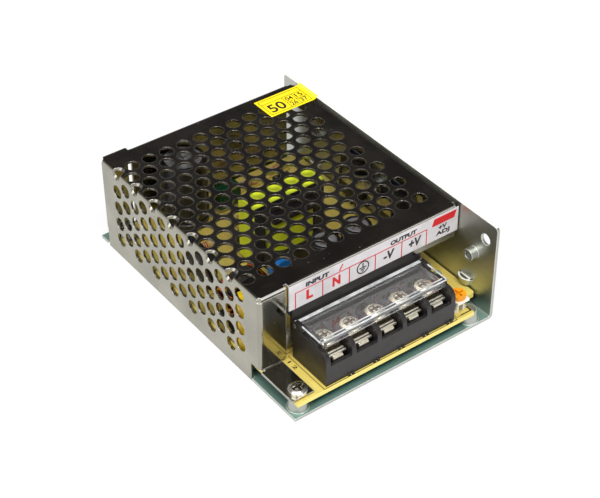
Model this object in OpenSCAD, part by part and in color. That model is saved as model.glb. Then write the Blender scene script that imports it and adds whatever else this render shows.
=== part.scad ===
// Mesh case switching power supply: a folded chassis and a perforated cover round a
// single circuit board, with a five way screw terminal block at the open front.
// Z is up, Y runs to the back and the origin is the middle of the underside.

/* [Case] */
// Length of the chassis, front to back
case_l = 110; // [108:1:125]
// Width of the chassis
case_w = 78; // [77:1:88]
// Height of the chassis side wall
case_h = 36; // [35:1:42]
// Thickness of the chassis sheet
chassis_t = 1; // [0.8:0.1:1.4]
// Thickness of the cover sheet
cover_t = 0.8; // [0.6:0.1:1]
// Inner radius of every fold
fold_in = 0.5; // [0.3:0.1:0.8]
// Depth of the open terminal bay in front of the cover
bay_l = 17.5; // [17:0.5:19]
// How far the chassis shows behind the cover
tail_l = 4; // [3:0.5:6]
// How far the cover top lies below the top of the side wall
cover_drop = 0.8; // [0.5:0.1:1.5]
// Height of the front flange that carries the terminal markings
front_flange_h = 10; // [8:0.5:11]
// Width of the two corner panels folded from the left wall
corner_panel_w = 9.8; // [9:0.1:10]
// Height of the flange inside the right wall
side_flange_h = 8; // [6:0.5:9]
// Width of the open slot at the back right corner
back_slot_w = 3; // [2:0.5:5]

/* [Vent holes] */
// Diameter of a vent hole
vent_d = 4.8; // [3.6:0.1:5.2]
// Distance between two vent holes of a row, across the case
vent_pitch_x = 6.6; // [6.2:0.1:8]
// Distance between two rows, along the case
vent_pitch_y = 5.28; // [5:0.04:6]
// Distance from a cover edge to the first row of holes
vent_margin = 10; // [9:0.5:12]
// Number of holes down the left wall in each row
vent_wall_count = 4; // [2:1:4]

/* [Fixings] */
// Thread diameter of the case screws and mounting holes
screw_d = 3; // [2.5:0.5:3]
// Tapping diameter of the threaded mounting holes
tap_d = 2.5; // [2:0.1:2.6]
// Outer diameter of a drawn, threaded collar
collar_d = 5; // [4.4:0.1:5.6]
// Height of the collars drawn into the base
base_collar_h = 2; // [1.5:0.1:2.4]
// Length of the collars drawn into the side wall
side_collar_l = 2.8; // [2.2:0.1:3.6]
// Outer diameter of the side collars
side_collar_d = 4.2; // [3.8:0.1:5]
// Distance between the side mounting holes
side_mount_pitch = 80; // [70:1:84]
// Height of the side mounting holes
side_mount_z = 21.2; // [18:0.2:23]
// Distance of the front side mounting hole from the front edge
side_mount_setback = 9.4; // [7:0.2:10]
// Distance between the base mounting holes across the case
base_mount_x = 50; // [40:1:52]
// Distance between the base mounting holes along the case
base_mount_y = 72; // [60:1:78]
// Diameter of a pan screw head
pan_d = 6; // [5.4:0.1:6.4]
// Height of a pan screw head
pan_h = 2; // [1.6:0.1:2.4]

/* [Circuit board] */
// Thickness of the board
board_t = 1.6; // [1.2:0.1:2]
// Height of the pressed feet under the board
foot_h = 3.8; // [3:0.1:4.5]
// Gap between the board edge and a wall
board_gap = 0.5; // [0.3:0.1:1]
// Width of the corner left out at the front right
board_notch_x = 6.4; // [5:0.2:7.4]
// Length of the corner left out at the front right
board_notch_y = 6.8; // [5:0.2:7]

/* [Terminal block] */
// Number of terminals is five; distance between two of them
term_pitch = 9.7; // [9.2:0.1:10]
// Depth of the block, front to back
block_d = 16.7; // [16.4:0.1:17]
// Height of the front wall of the block
block_front_h = 7.4; // [6.6:0.1:7.8]
// Height of the walls between the terminals
block_wall_h = 12.2; // [11.8:0.1:12.4]
// Thickness of the walls between the terminals
block_wall_t = 1.6; // [1.4:0.1:1.9]
// How far the middle of the block lies left of the middle of the case
block_off = 1.7; // [1:0.1:2]
// Height of the contact plates above the board
contact_h = 8.8; // [8.6:0.1:9.2]
// Thickness of the contact plates
contact_t = 0.8; // [0.6:0.1:0.9]
// Thickness of a clamping plate
clamp_t = 0.8; // [0.6:0.1:0.9]
// Side of a square clamping plate
clamp_w = 6.8; // [6.2:0.1:7]
// Diameter of a terminal screw head
term_head_d = 6.2; // [5.8:0.1:6.6]
// Height of a terminal screw head
term_head_h = 2.2; // [1.8:0.1:2.3]
// How far a terminal screw can be backed out
term_travel = 1.2; // [0.8:0.1:1.2]

/* [Lid] */
// Thickness of the clear lid
lid_t = 0.9; // [0.7:0.1:1.2]
// Height of the lid top above the board
lid_h = 14.3; // [14.3:0.1:14.8]
// Depth of the lid, front to back
lid_d = 13.7; // [13.2:0.1:14]
// Height of the lid skirt
lid_skirt = 1.9; // [1.6:0.1:2.1]
// Diameter of the hinge pins of the lid
lid_pin_d = 1.5; // [1.2:0.1:1.6]

/* [Components] */
// Width of the transformer core
core_w = 27.5; // [26:0.5:28]
// Thickness of the transformer core
core_d = 9; // [8:0.5:10]
// Height of the transformer core
core_h = 22.6; // [21:0.2:23]
// Diameter of the mains reservoir capacitor
bulk_d = 16; // [14:0.5:16]
// Height of the mains reservoir capacitor
bulk_h = 25; // [20:0.5:26]
// Diameter of an output capacitor
out_cap_d = 10; // [8:0.5:10]
// Height of an output capacitor
out_cap_h = 20; // [16:0.5:21]
// Outer diameter of the mains filter choke
choke_d = 17; // [15:0.5:17]
// Diameter of the voltage trimmer knob
trim_d = 5; // [4:0.2:5.4]

/* [Hidden] */
$fn = 48;
eps = 0.01;
slip = 0.2;

// edges of the case
x_l = -case_w / 2;
x_r = case_w / 2;
y_f = -case_l / 2;
y_b = case_l / 2;
fold_r = cover_t + fold_in;
chassis_r = chassis_t + fold_in;
wall_in = x_r - chassis_t;

// cover
cov_f = y_f + bay_l;
cov_b = y_b - tail_l;
cov_r = wall_in - slip;
cov_top = case_h - cover_drop;
back_flange_y = cov_b - cover_t;
panel_r = x_l + corner_panel_w;
flange_l = panel_r + 1;
relief_d = 2.4;
wall_notch_y = cov_f + 4.8;
front_flange_z = cov_top - front_flange_h;
front_flange_step = 2;
front_flange_step_x = 20.2;
step_r = 1.6;

// board
board_z = chassis_t + foot_h;
board_top = board_z + board_t;
board_l = x_l + cover_t + board_gap;
board_r = wall_in - board_gap;
board_f = y_f + 0.3;
board_b = back_flange_y - cover_t - 1.5;
board_notch_r = 1;

// tabs of the cover over the board corners
tab_w = 8;
tab_l = 17;
tab_inner_l = 11.5;
tab_top = board_top + cover_t;
tab_screw_x = x_l + cover_t + pan_d / 2 + 0.3;
tab_screw_front_y = y_f + 4.2;
tab_screw_back_y = back_flange_y - 5.4;

// pressed feet of the base
foot_top_d = 5.4;
foot_base_d = 7.2;
foot_right_x = board_r - board_notch_x + 0.6;
foot_right_back_x = board_r - 4.5;
feet = [
    [tab_screw_x, tab_screw_front_y, true],
    [tab_screw_x, tab_screw_back_y, true],
    [foot_right_x, tab_screw_front_y - 0.6, false],
    [foot_right_back_x, tab_screw_back_y, false]];

// hooks lanced out of the side wall over the board edge
hook_l = 6;
hook_h = 2.4;
hook_out = 2.2;
hook_t = 0.7;
hook_z = board_top + 1;
hook_y = [y_f + 12.25, cov_b - 15];

// side wall holes
side_hole_d = 4;
side_hole_y = y_f + 4.9;
side_hole_z = 29;
side_mount_y = y_f + side_mount_setback;
wall_corner_r = 1.5;
cover_screw_y = [cov_f + 14, cov_b - 16];
cover_screw_z = cov_top - 5;
flat_head_d = 5.6;
flat_head_l = 1.5;
cover_screw_l = 5;

// vent grid
vent_rows = floor((cov_b - cov_f - 2 * vent_margin + 0.3) / vent_pitch_y) + 1;
vent_first_y = cov_f + vent_margin;
vent_first_x = x_l + 3;
vent_right_x = cov_r - 6.5;
vent_bend_gain = 0.9;

// terminal block
term_count = 5;
block_x = -block_off;
block_w = term_count * term_pitch + block_wall_t;
block_f = y_f + 1;
block_b = block_f + block_d;
block_back_t = 1.2;
block_back_h = 9.4;
tooth_out = 0.4;
cell_floor_h = contact_h - contact_t - 3.2;
end_out = block_w / 2;
end_in = end_out - block_wall_t;
screw_y = block_f + 8.6;
screw_shank_l = 6.5;
contact_w = 7.2;
contact_lip_r = 1;
contact_f = block_f + 1.2 + contact_lip_r + 0.2;
contact_b = block_b - block_back_t - 0.5;
contact_top = board_top + contact_h;
clamp_top = contact_top + clamp_t;
head_top = clamp_top + term_head_h;
pin_y = block_b - 4;
pin_w = 1;
function term_x(k) = block_x + (k - (term_count - 1) / 2) * term_pitch;

// lid
lid_top = board_top + lid_h;
riser_t = 0.95;
riser_y = block_b + 0.15;
riser_r = 1;
riser_z = front_flange_z - 0.35;
riser_low_z = riser_z - front_flange_step;
lid_b = riser_y - 0.12;
lid_f = lid_b - lid_d;
lid_half = end_in - 0.15;
lid_rim = 1.7;
lid_sink = 0.35;
barrel_r = 1.2;
lid_pivot_y = lid_b - barrel_r;
lid_pivot_z = lid_top - barrel_r;
ear_r = 1.5;
ear_l = 2.2;
ear_gap = 0.05;
latch_y = lid_f + 1.3;
latch_w = 3.8;

// trimmer
trim_w = 4.8;
trim_x = block_x + end_out + trim_w / 2 + 1.95;
trim_y = y_f + 4.5;
trim_plate_z = board_top + 4.1;
trim_plate_t = 0.9;
trim_knob_h = 1.5;
knob_stem_d = 1.8;

// indicator
led_d = 3;
led_x = trim_x + 2.2;

// mains side
lead_d = 0.8;
film_w = 8.4;
film_l = 14.2;
film_h = 18.6;
film_r = 0.8;
film_x = x_l + cover_t + 1.2;
film_y = cov_f + 2.2;
fuse_d = 5;
fuse_l = 16;
fuse_x = film_x + film_w + 2;
ntc_d = 8.6;
ntc_x = fuse_x + fuse_l + ntc_d / 2 + 0.8;
choke_x = x_l + 12.2;
choke_t = 8;
choke_y = film_y + film_l + choke_t / 2 + 4.6;
choke_z = board_top + choke_d / 2 + 0.8;
choke_in = 8;
wire_d = 0.85;
turn_t = 0.9;
turn_count = 8;
turn_step = 16;
bridge_step = 14.5;
bridge_y = choke_y + bridge_step;
disc_d = 7.6;
disc_t = 3.2;
disc_left = 11.4;
disc_ahead = 14.5;
disc_fuse_x = 11;
disc_front = 12;
bulk_in = 24.5;
bulk_gap = 2.5;
bulk_x = x_l + bulk_in;
bulk_y = back_flange_y - bulk_d / 2 - bulk_gap;

// transformer
tr_x = 2.4;
tr_y = (cov_f + cov_b) / 2 + 1.25;
tr_z = board_top + 1.2;
tr_yoke = 4;
tr_leg = 4;
tr_centre_leg_d = 8.4;
win_w = core_w - 2 * tr_leg - 0.9;
win_d = 16.6;
win_h = 12.4;
win_r = 5;
bob_flange_t = 0.9;
tape_t = 0.15;
win_z = tr_z + tr_yoke + 0.9;

// devices on the side wall
pad_t = 0.3;
dev_w = 10;
dev_t = 4.4;
dev_h = 15.5;
dev_z = cov_top - side_flange_h - dev_h - 1.4;
dev_x = wall_in - pad_t - dev_t;
rect_y = tr_y - 17;
trans_y = tr_y + 4.5;
clip_t = 0.9;
clip_w = 6;
clip_z = dev_z + 9;
clip_y = (rect_y + trans_y) / 2;

// output side: places from the board's right edge, the cover's front and the back flange
out_cap_in = 24.4;
out_cap_step = 12.5;
out_cap_back = 19.9;
out_choke_in = 12.8;
out_choke_back = 11.5;
out_choke_d = 8;
out_choke_flange = 1.2;
out_choke_h = 8;
snub_l = 8.4;
snub_t = 4;
snub_h = 8;
snub_gap = 6.5;
snub_ahead = 3.7;
chip_w = 6.4;
chip_l = 9.6;
chip_h = 3.4;
chip_in = 18.3;
chip_ahead = 23.2;
opto_l = 4.6;
opto_gap = 0.9;
opto_back = 6;
res_gap = 2;
res_big_l = 8;
res_big_d = 3;
res_l = 6;
res_d = 2.4;
res_tr_left = 4.4;
res_tr_back = 18.5;
res_bulk_right = 24.5;
res_bulk_ahead = 8.2;
res_choke_right = 5;
res_bridge_back = 20;
res_edge_in = 15.3;
res_edge_ahead = 7.2;
res_y_max = bulk_y - bulk_d / 2 - res_gap;

// ---------- helpers ----------

// quarter ring of folded sheet along +Z, in the first quadrant
module fold_piece(len, r_out, t) {
    linear_extrude(len)
        difference() {
            intersection() {
                circle(r_out);
                square(r_out);
            }
            circle(r_out - t);
        }
}

// fold along Y from y0 to y1, bulging to -X and +Z, centred on x and z
module fold_left_top(x, z, y0, y1, r_out, t) {
    translate([x, y1, z]) rotate([90, 0, 0]) mirror([1, 0, 0]) fold_piece(y1 - y0, r_out, t);
}

// fold along X from x0 to x1, bulging to front (dir -1) or back (dir 1), up or down
module fold_along_x(x0, x1, y, z, dir, up) {
    translate([x0, y, z]) rotate([90, 0, 90])
        mirror([dir > 0 ? 0 : 1, 0, 0]) mirror([0, up > 0 ? 0 : 1, 0])
            fold_piece(x1 - x0, fold_r, cover_t);
}

// box between two corners
module block_between(a, b) {
    translate(a) cube([b[0] - a[0], b[1] - a[1], b[2] - a[2]]);
}

// cylinder along X that starts at x0
module x_cylinder(x0, y, z, d, len) {
    translate([x0, y, z]) rotate([0, 90, 0]) cylinder(d = d, h = len);
}

// cylinder along Y that starts at y0
module y_cylinder(x, y0, z, d, len) {
    translate([x, y0, z]) rotate([-90, 0, 0]) cylinder(d = d, h = len);
}

// cross recess for a screwdriver, opening upwards at z = 0
module cross_recess(size, depth) {
    for (a = [0, 90])
        rotate([0, 0, a]) translate([-size / 2, -size * 0.13, -depth]) cube([size, size * 0.26, depth + 1]);
}

// pan head screw pointing down, its head standing on z = 0
module pan_screw(head_d, head_h, shank_d, shank_l) {
    dome = head_h * 0.45;
    difference() {
        union() {
            cylinder(d = head_d, h = head_h - dome);
            translate([0, 0, head_h - dome]) intersection() {
                scale_r = (head_d * head_d / 4 + dome * dome) / (2 * dome);
                translate([0, 0, dome - scale_r]) sphere(r = scale_r);
                cylinder(d = head_d, h = dome);
            }
            translate([0, 0, -shank_l]) cylinder(d = shank_d, h = shank_l + eps);
        }
        translate([0, 0, head_h]) cross_recess(head_d * 0.62, head_h * 0.6);
    }
}

// rounded bar in plan, standing on z = 0, built from boxes and cylinders
module rounded_plan(w, d, r, h) {
    linear_extrude(h) union() {
        square([w - 2 * r, d], center = true);
        square([w, d - 2 * r], center = true);
        for (sx = [-1, 1], sy = [-1, 1])
            translate([sx * (w / 2 - r), sy * (d / 2 - r)]) circle(r);
    }
}

// ---------- chassis ----------

module side_hook(y) {
    translate([wall_in + eps, y, hook_z]) intersection() {
        translate([-hook_out - 1, -hook_l, 0]) cube([hook_out + 1, 2 * hook_l, hook_h]);
        difference() {
            scale([hook_out / (hook_l / 2), 1, 1]) cylinder(d1 = hook_l - 1.2, d2 = hook_l, h = hook_h);
            translate([0, 0, hook_t]) scale([(hook_out - hook_t) / (hook_l / 2 - hook_t), 1, 1])
                cylinder(d1 = hook_l - 2 * hook_t - 1, d2 = hook_l - 2 * hook_t, h = hook_h);
        }
    }
}

module hook_slot(y) {
    translate([wall_in - eps, y - hook_l / 2 + 1.4, hook_z + hook_t])
        cube([chassis_t + 1, hook_l - 2.8, hook_h - hook_t]);
}

module wall_corner_cut(y, dir) {
    translate([wall_in - 1, y - dir * wall_corner_r, case_h - wall_corner_r]) difference() {
        translate([0, dir > 0 ? 0 : -wall_corner_r - 1, 0]) cube([chassis_t + 2, wall_corner_r + 1, wall_corner_r + 1]);
        translate([-1, 0, 0]) rotate([0, 90, 0]) cylinder(r = wall_corner_r, h = chassis_t + 4);
    }
}

module base_mounts() {
    for (sx = [-1, 1], sy = [-1, 1])
        translate([sx * base_mount_x / 2, sy * base_mount_y / 2, 0]) children();
}

module chassis() {
    color("silver") difference() {
        union() {
            block_between([x_l, y_f, 0], [x_r - chassis_r, y_b, chassis_t]);
            translate([x_r - chassis_r, y_b, chassis_r]) rotate([90, 0, 0]) mirror([0, 1, 0])
                fold_piece(case_l, chassis_r, chassis_t);
            block_between([wall_in, y_f, chassis_r], [x_r, y_b, case_h]);
            for (y = [side_mount_y, side_mount_y + side_mount_pitch])
                x_cylinder(wall_in - side_collar_l, y, side_mount_z, side_collar_d, side_collar_l + eps);
            x_cylinder(wall_in - base_collar_h, clip_y, clip_z, collar_d, base_collar_h + eps);
            for (y = hook_y)
                side_hook(y);
            base_mounts() cylinder(d = collar_d, h = chassis_t + base_collar_h);
            for (f = feet)
                translate([f[0], f[1], 0]) cylinder(d = foot_base_d - 1, h = chassis_t);
            for (f = feet)
                translate([f[0], f[1], 0]) cylinder(d1 = foot_base_d, d2 = foot_top_d, h = board_z);
        }
        for (f = feet)
            translate([f[0], f[1], -eps]) {
                cylinder(d1 = foot_base_d - 2.2, d2 = foot_top_d - 2.2, h = board_z - chassis_t);
                if (f[2])
                    cylinder(d = tap_d, h = board_z + 1);
            }
        translate([x_l - 1, wall_notch_y - slip, -1])
            cube([1 + cover_t + slip, cov_b - wall_notch_y + 2 * slip, chassis_t + 2]);
        base_mounts() translate([0, 0, -1]) cylinder(d = tap_d, h = chassis_t + base_collar_h + 2);
        for (y = [side_mount_y, side_mount_y + side_mount_pitch])
            x_cylinder(wall_in - side_collar_l - 1, y, side_mount_z, tap_d, side_collar_l + chassis_t + 2);
        x_cylinder(wall_in - base_collar_h - 1, clip_y, clip_z, tap_d, base_collar_h + chassis_t + 2);
        x_cylinder(wall_in - 1, side_hole_y, side_hole_z, side_hole_d, chassis_t + 2);
        for (y = cover_screw_y)
            translate([x_r + eps, y, cover_screw_z]) rotate([0, -90, 0])
                cylinder(d1 = flat_head_d + 0.2, d2 = screw_d + 0.2, h = flat_head_l);
        for (y = hook_y)
            hook_slot(y);
        wall_corner_cut(y_f, -1);
        wall_corner_cut(y_b, 1);
    }
}

// ---------- cover ----------

module vent_hole_top(x, y) {
    translate([x, y, cov_top - cover_t - 1]) cylinder(d = vent_d, h = cover_t + 2);
}

module vent_hole_wall(y, z) {
    x_cylinder(x_l - 1, y, z, vent_d, cover_t + 2);
}

module vent_holes() {
    for (j = [0 : vent_rows - 1]) {
        y = vent_first_y + j * vent_pitch_y;
        shift = (j % 2 == 0) ? 0 : vent_pitch_x / 2;
        for (x = [vent_first_x + shift : vent_pitch_x : vent_right_x])
            vent_hole_top(x, y);
        for (k = [1 : vent_wall_count])
            vent_hole_wall(y, cov_top - (k * vent_pitch_x - shift - (vent_first_x - x_l)) - vent_bend_gain
                - (shift > 0 ? vent_pitch_x : 0));
        if (shift > 0)
            translate([x_l, y, cov_top]) rotate([0, 45, 0]) translate([0, 0, -fold_r * 3])
                cylinder(d = vent_d * 0.95, h = fold_r * 6);
    }
}

module cover_sheets() {
    // top
    block_between([x_l + fold_r, cov_f + fold_r, cov_top - cover_t], [cov_r - fold_r, back_flange_y - fold_r, cov_top]);
    block_between([x_l + fold_r, cov_f, cov_top - cover_t], [panel_r, cov_f + fold_r + eps, cov_top]);
    block_between([x_l + fold_r, back_flange_y - fold_r - eps, cov_top - cover_t], [panel_r, cov_b, cov_top]);
    // left wall
    fold_left_top(x_l + fold_r, cov_top - fold_r, cov_f, cov_b, fold_r, cover_t);
    block_between([x_l, cov_f + fold_r, tab_top], [x_l + cover_t, cov_b - fold_r, cov_top - fold_r]);
    block_between([x_l, wall_notch_y, 0], [x_l + cover_t, cov_b - fold_r, tab_top + eps]);
    // front left panel, with its tab over the board corner
    translate([x_l + fold_r, cov_f + fold_r, tab_top]) rotate([0, 0, 180])
        fold_piece(cov_top - fold_r - tab_top, fold_r, cover_t);
    block_between([x_l + fold_r, cov_f, tab_top + fold_in], [panel_r, cov_f + cover_t, cov_top - fold_r]);
    fold_along_x(x_l + fold_r, x_l + tab_w, cov_f - fold_in, tab_top + fold_in, 1, -1);
    block_between([x_l, cov_f - tab_l + cover_t, board_top], [x_l + tab_w, cov_f - fold_in, tab_top]);
    // back left panel, with its tab inside the case
    translate([x_l + fold_r, cov_b - fold_r, tab_top + fold_in]) rotate([0, 0, 90])
        fold_piece(cov_top - fold_r - tab_top - fold_in, fold_r, cover_t);
    block_between([x_l + fold_r, cov_b - cover_t, tab_top], [panel_r, cov_b, cov_top - fold_r]);
    fold_along_x(x_l + fold_r, x_l + tab_w, cov_b - fold_r, board_top + fold_r, 1, -1);
    block_between([x_l + fold_r, cov_b - tab_inner_l, board_top], [x_l + tab_w, cov_b - fold_r, tab_top]);
    // front flange
    fold_along_x(flange_l, cov_r - fold_r, cov_f + fold_r, cov_top - fold_r, -1, 1);
    block_between([flange_l, cov_f, front_flange_z], [cov_r - fold_r, cov_f + cover_t, cov_top - fold_r]);
    block_between([front_flange_step_x, cov_f, front_flange_z - front_flange_step],
        [cov_r - fold_r, cov_f + cover_t, front_flange_z + eps]);
    // back flange
    fold_along_x(flange_l, cov_r - back_slot_w, back_flange_y - fold_r, cov_top - fold_r, 1, 1);
    block_between([flange_l, back_flange_y - cover_t, chassis_t + slip],
        [cov_r - back_slot_w, back_flange_y, cov_top - fold_r]);
    block_between([flange_l, back_flange_y - fold_r - eps, cov_top - cover_t],
        [panel_r, back_flange_y - cover_t, cov_top]);
    // flange inside the right wall
    translate([cov_r - fold_r, back_flange_y - 2, cov_top - fold_r]) rotate([90, 0, 0])
        fold_piece(back_flange_y - 2 - cov_f - 2, fold_r, cover_t);
    block_between([cov_r - cover_t, cov_f + 2, cov_top - side_flange_h], [cov_r, back_flange_y - 2, cov_top - fold_r]);
}

module cover() {
    color("gray") difference() {
        cover_sheets();
        vent_holes();
        // corner reliefs where three folds meet
        for (y = [cov_f, cov_b])
            translate([x_l, y, cov_top - relief_d / 2 - 0.6]) cylinder(d = relief_d, h = relief_d + 1);
        // rounded step of the front flange
        translate([front_flange_step_x, cov_f - 1, front_flange_z - front_flange_step]) difference() {
            translate([-1, 0, -1]) cube([step_r + 1, cover_t + 2, step_r + 1]);
            translate([step_r, -1, step_r]) rotate([-90, 0, 0]) cylinder(r = step_r, h = cover_t + 4);
        }
        // screw holes of the two tabs and the side flange
        for (y = [tab_screw_front_y, tab_screw_back_y])
            translate([tab_screw_x, y, board_top - 1]) cylinder(d = screw_d + 0.4, h = cover_t + 2);
        for (y = cover_screw_y) {
            x_cylinder(cov_r - cover_t - 1, y, cover_screw_z, screw_d + 0.1, cover_t + 2);
            translate([x_r + eps, y, cover_screw_z]) rotate([0, -90, 0])
                cylinder(d1 = flat_head_d + 0.2, d2 = screw_d + 0.2, h = flat_head_l);
        }
    }
}

module tab_screws() {
    color("gainsboro") for (y = [tab_screw_front_y, tab_screw_back_y])
        translate([tab_screw_x, y, tab_top]) pan_screw(pan_d, pan_h, tap_d - 0.1, board_t + cover_t + 2);
}

module cover_side_screws() {
    color("gainsboro") for (y = cover_screw_y)
        translate([x_r - 0.05, y, cover_screw_z]) rotate([0, -90, 0]) difference() {
            union() {
                cylinder(d1 = flat_head_d, d2 = screw_d, h = flat_head_l);
                cylinder(d = screw_d, h = cover_screw_l);
            }
            mirror([0, 0, 1]) cross_recess(flat_head_d * 0.6, 1);
        }
}

// ---------- board ----------

sheet_z = chassis_t;
sheet_th = 0.25;

module insulating_sheet() {
    color("darkseagreen", 0.5) difference() {
        block_between([x_l + 9, y_f + 2.2, sheet_z], [wall_in - chassis_r - 1, board_b - 2, sheet_z + sheet_th]);
        for (f = feet)
            translate([f[0], f[1], 0]) cylinder(d = foot_base_d + 1, h = board_z);
        base_mounts() cylinder(d = collar_d + 0.6, h = board_z);
    }
}

module board_outline() {
    difference() {
        translate([board_l, board_f]) square([board_r - board_l, board_b - board_f]);
        translate([board_r - board_notch_x, board_f - 1]) square([board_notch_x + 1, board_notch_y + 1]);
        translate([board_r - board_notch_r, board_f + board_notch_y]) difference() {
            translate([0, -1]) square([board_notch_r + 1, board_notch_r + 1]);
            translate([0, board_notch_r]) circle(board_notch_r);
        }
    }
}

module circuit_board() {
    color("goldenrod") translate([0, 0, board_z]) difference() {
        linear_extrude(board_t) board_outline();
        for (y = [tab_screw_front_y, tab_screw_back_y])
            translate([tab_screw_x, y, -1]) cylinder(d = screw_d + 0.2, h = board_t + 2);
        for (k = [0 : term_count - 1])
            translate([term_x(k), pin_y, -1]) cylinder(d = pin_w + 0.6, h = board_t + 2);
    }
}

// ---------- terminal block ----------

// side outline of the walls between the terminals: Y to the right, Z up
module wall_outline(h, r, back_l) {
    difference() {
        square([block_d, h]);
        translate([0, h - r]) difference() {
            translate([-1, 0]) square([r + 1, r + 1]);
            translate([r, 0]) circle(r);
        }
        translate([block_d - back_l, block_back_h]) square([back_l + 1, h]);
    }
}

// slab across X from x0 to x1 with an outline in the Y-Z plane
module slab_x(x0, x1) {
    translate([x0, block_f, board_top]) rotate([90, 0, 90]) linear_extrude(x1 - x0) children();
}

module end_wall(x0, x1) {
    slab_x(x0, x1) difference() {
        union() {
            wall_outline(block_wall_h, 3, 0);
            for (y = [-ear_l, 0])
                translate([lid_pivot_y - block_f + y, lid_pivot_z - board_top]) circle(ear_r);
            translate([lid_pivot_y - block_f - ear_l, lid_pivot_z - board_top - ear_r]) square([ear_l, 2 * ear_r]);
            translate([latch_y - block_f, 0]) square([latch_w, lid_h - 0.5]);
            translate([block_d - 1, block_back_h]) square([riser_y + riser_t - block_b + 1, 3]);
        }
        translate([lid_pivot_y - block_f, lid_pivot_z - board_top]) circle(lid_pin_d / 2 + ear_gap);
    }
}

// wall that rises behind the lid up to the front flange, stepped down under its deeper end
module riser() {
    block_between([block_x - end_out, block_b - 1, board_top + block_back_h - 1],
        [block_x + end_out, riser_y + riser_t, lid_pivot_z - barrel_r - 0.5]);
    translate([0, riser_y + riser_t, 0]) rotate([90, 0, 0]) linear_extrude(riser_t) difference() {
        union() {
            translate([block_x - end_out, board_top + block_back_h - 1])
                square([front_flange_step_x - 0.4 - block_x + end_out, riser_z - board_top - block_back_h + 1]);
            translate([block_x - end_out, board_top + block_back_h - 1])
                square([2 * end_out, riser_low_z - board_top - block_back_h + 1]);
        }
        translate([block_x - end_out, riser_z - riser_r]) difference() {
            translate([-1, 0]) square(riser_r + 1);
            translate([riser_r, 0]) circle(riser_r);
        }
        translate([block_x + end_out - riser_r, riser_low_z - riser_r]) difference() {
            square(riser_r + 1);
            circle(riser_r);
        }
    }
}

module terminal_block() {
    color("#2b2729") difference() {
        union() {
            // base, front wall and back wall
            block_between([block_x - end_out, block_f, board_top],
                [block_x + end_out, block_b, board_top + cell_floor_h]);
            block_between([block_x - end_out, block_f, board_top],
                [block_x + end_out, block_f + 1.2, board_top + block_front_h]);
            block_between([block_x - end_out, block_b - block_back_t, board_top],
                [block_x + end_out, block_b, board_top + block_back_h]);
            // seats that carry the contact plates
            block_between([block_x - end_out, screw_y - 3.5, board_top],
                [block_x + end_out, contact_b, contact_top - contact_t]);
            // walls between the terminals
            for (k = [1 : term_count - 1])
                slab_x(term_x(k) - term_pitch / 2 - block_wall_t / 2, term_x(k) - term_pitch / 2 + block_wall_t / 2)
                    wall_outline(block_wall_h, 3, 7);
            end_wall(block_x - end_out, block_x - end_in);
            end_wall(block_x + end_in, block_x + end_out);
            riser();
            // teeth under the front wall, at each partition
            for (k = [0 : term_count - 1], dx = [-2.4, -0.9])
                translate([term_x(k) + term_pitch / 2 + dx, block_f - tooth_out, board_top]) cube([0.9, tooth_out + 1, 0.9]);
        }
        for (k = [0 : term_count - 1]) {
            translate([term_x(k), screw_y, contact_top - screw_shank_l - 0.3])
                cylinder(d = screw_d + 0.8, h = screw_shank_l + 5);
            translate([term_x(k) - pin_w / 2 - 0.1, pin_y - 0.5, board_top - 1])
                cube([pin_w + 0.2, 1, contact_h + 2]);
            // gap between two teeth
            translate([term_x(k) + term_pitch / 2 - 1.5, block_f - 1, board_top - 1]) cube([0.6, 2, 1.7]);
        }
    }
}

module contact_plate() {
    difference() {
        union() {
            block_between([-contact_w / 2, contact_f, -contact_t], [contact_w / 2, contact_b, 0]);
            translate([-contact_w / 4, contact_f, -contact_lip_r]) rotate([0, 90, 0])
                cylinder(r = contact_lip_r, h = contact_w / 2);
        }
        translate([0, screw_y, -3]) cylinder(d = screw_d + 0.1, h = 5);
    }
    translate([-pin_w / 2, pin_y - 0.4, -contact_h - board_t * 0.6])
        cube([pin_w, 0.8, contact_h + board_t * 0.6 - contact_t + eps]);
}

module terminal_contacts() {
    color("lightgray") for (k = [0 : term_count - 1])
        translate([term_x(k), 0, contact_top]) contact_plate();
}

module clamp_plate(k) {
    color("lightgray") translate([term_x(k), screw_y, contact_top]) difference() {
        translate([-clamp_w / 2, -clamp_w / 2, 0]) cube([clamp_w, clamp_w, clamp_t]);
        translate([0, 0, -1]) cylinder(d = screw_d + 0.1, h = clamp_t + 2);
        for (s = [-1, 1])
            translate([-clamp_w, s * clamp_w * 0.33 - 0.3, -0.3]) cube([2 * clamp_w, 0.6, 0.5]);
    }
}

module terminal_screw(k) {
    color("gainsboro") translate([term_x(k), screw_y, clamp_top])
        pan_screw(term_head_d, term_head_h, screw_d, screw_shank_l + clamp_t - 0.6);
}

// outline of the lid in the Y-Z plane, from its front edge
module lid_outline() {
    difference() {
        union() {
            translate([0, lid_skirt - 1.1]) square([lid_d, 1.1]);
            square([lid_t, lid_skirt]);
            translate([lid_d - barrel_r - 1, lid_skirt - barrel_r]) square([1, barrel_r]);
        }
        translate([lid_t, -1]) square([lid_d - 2 * lid_t, lid_skirt - lid_t + 1]);
        translate([0, lid_skirt - 0.7]) difference() {
            translate([-1, 0]) square([1.7, 1.7]);
            translate([0.7, 0]) circle(0.7);
        }
        translate([lid_d - barrel_r, -1]) square([barrel_r + 1, lid_skirt + 2]);
    }
    translate([lid_d - barrel_r, lid_skirt - barrel_r]) circle(barrel_r);
}

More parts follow.
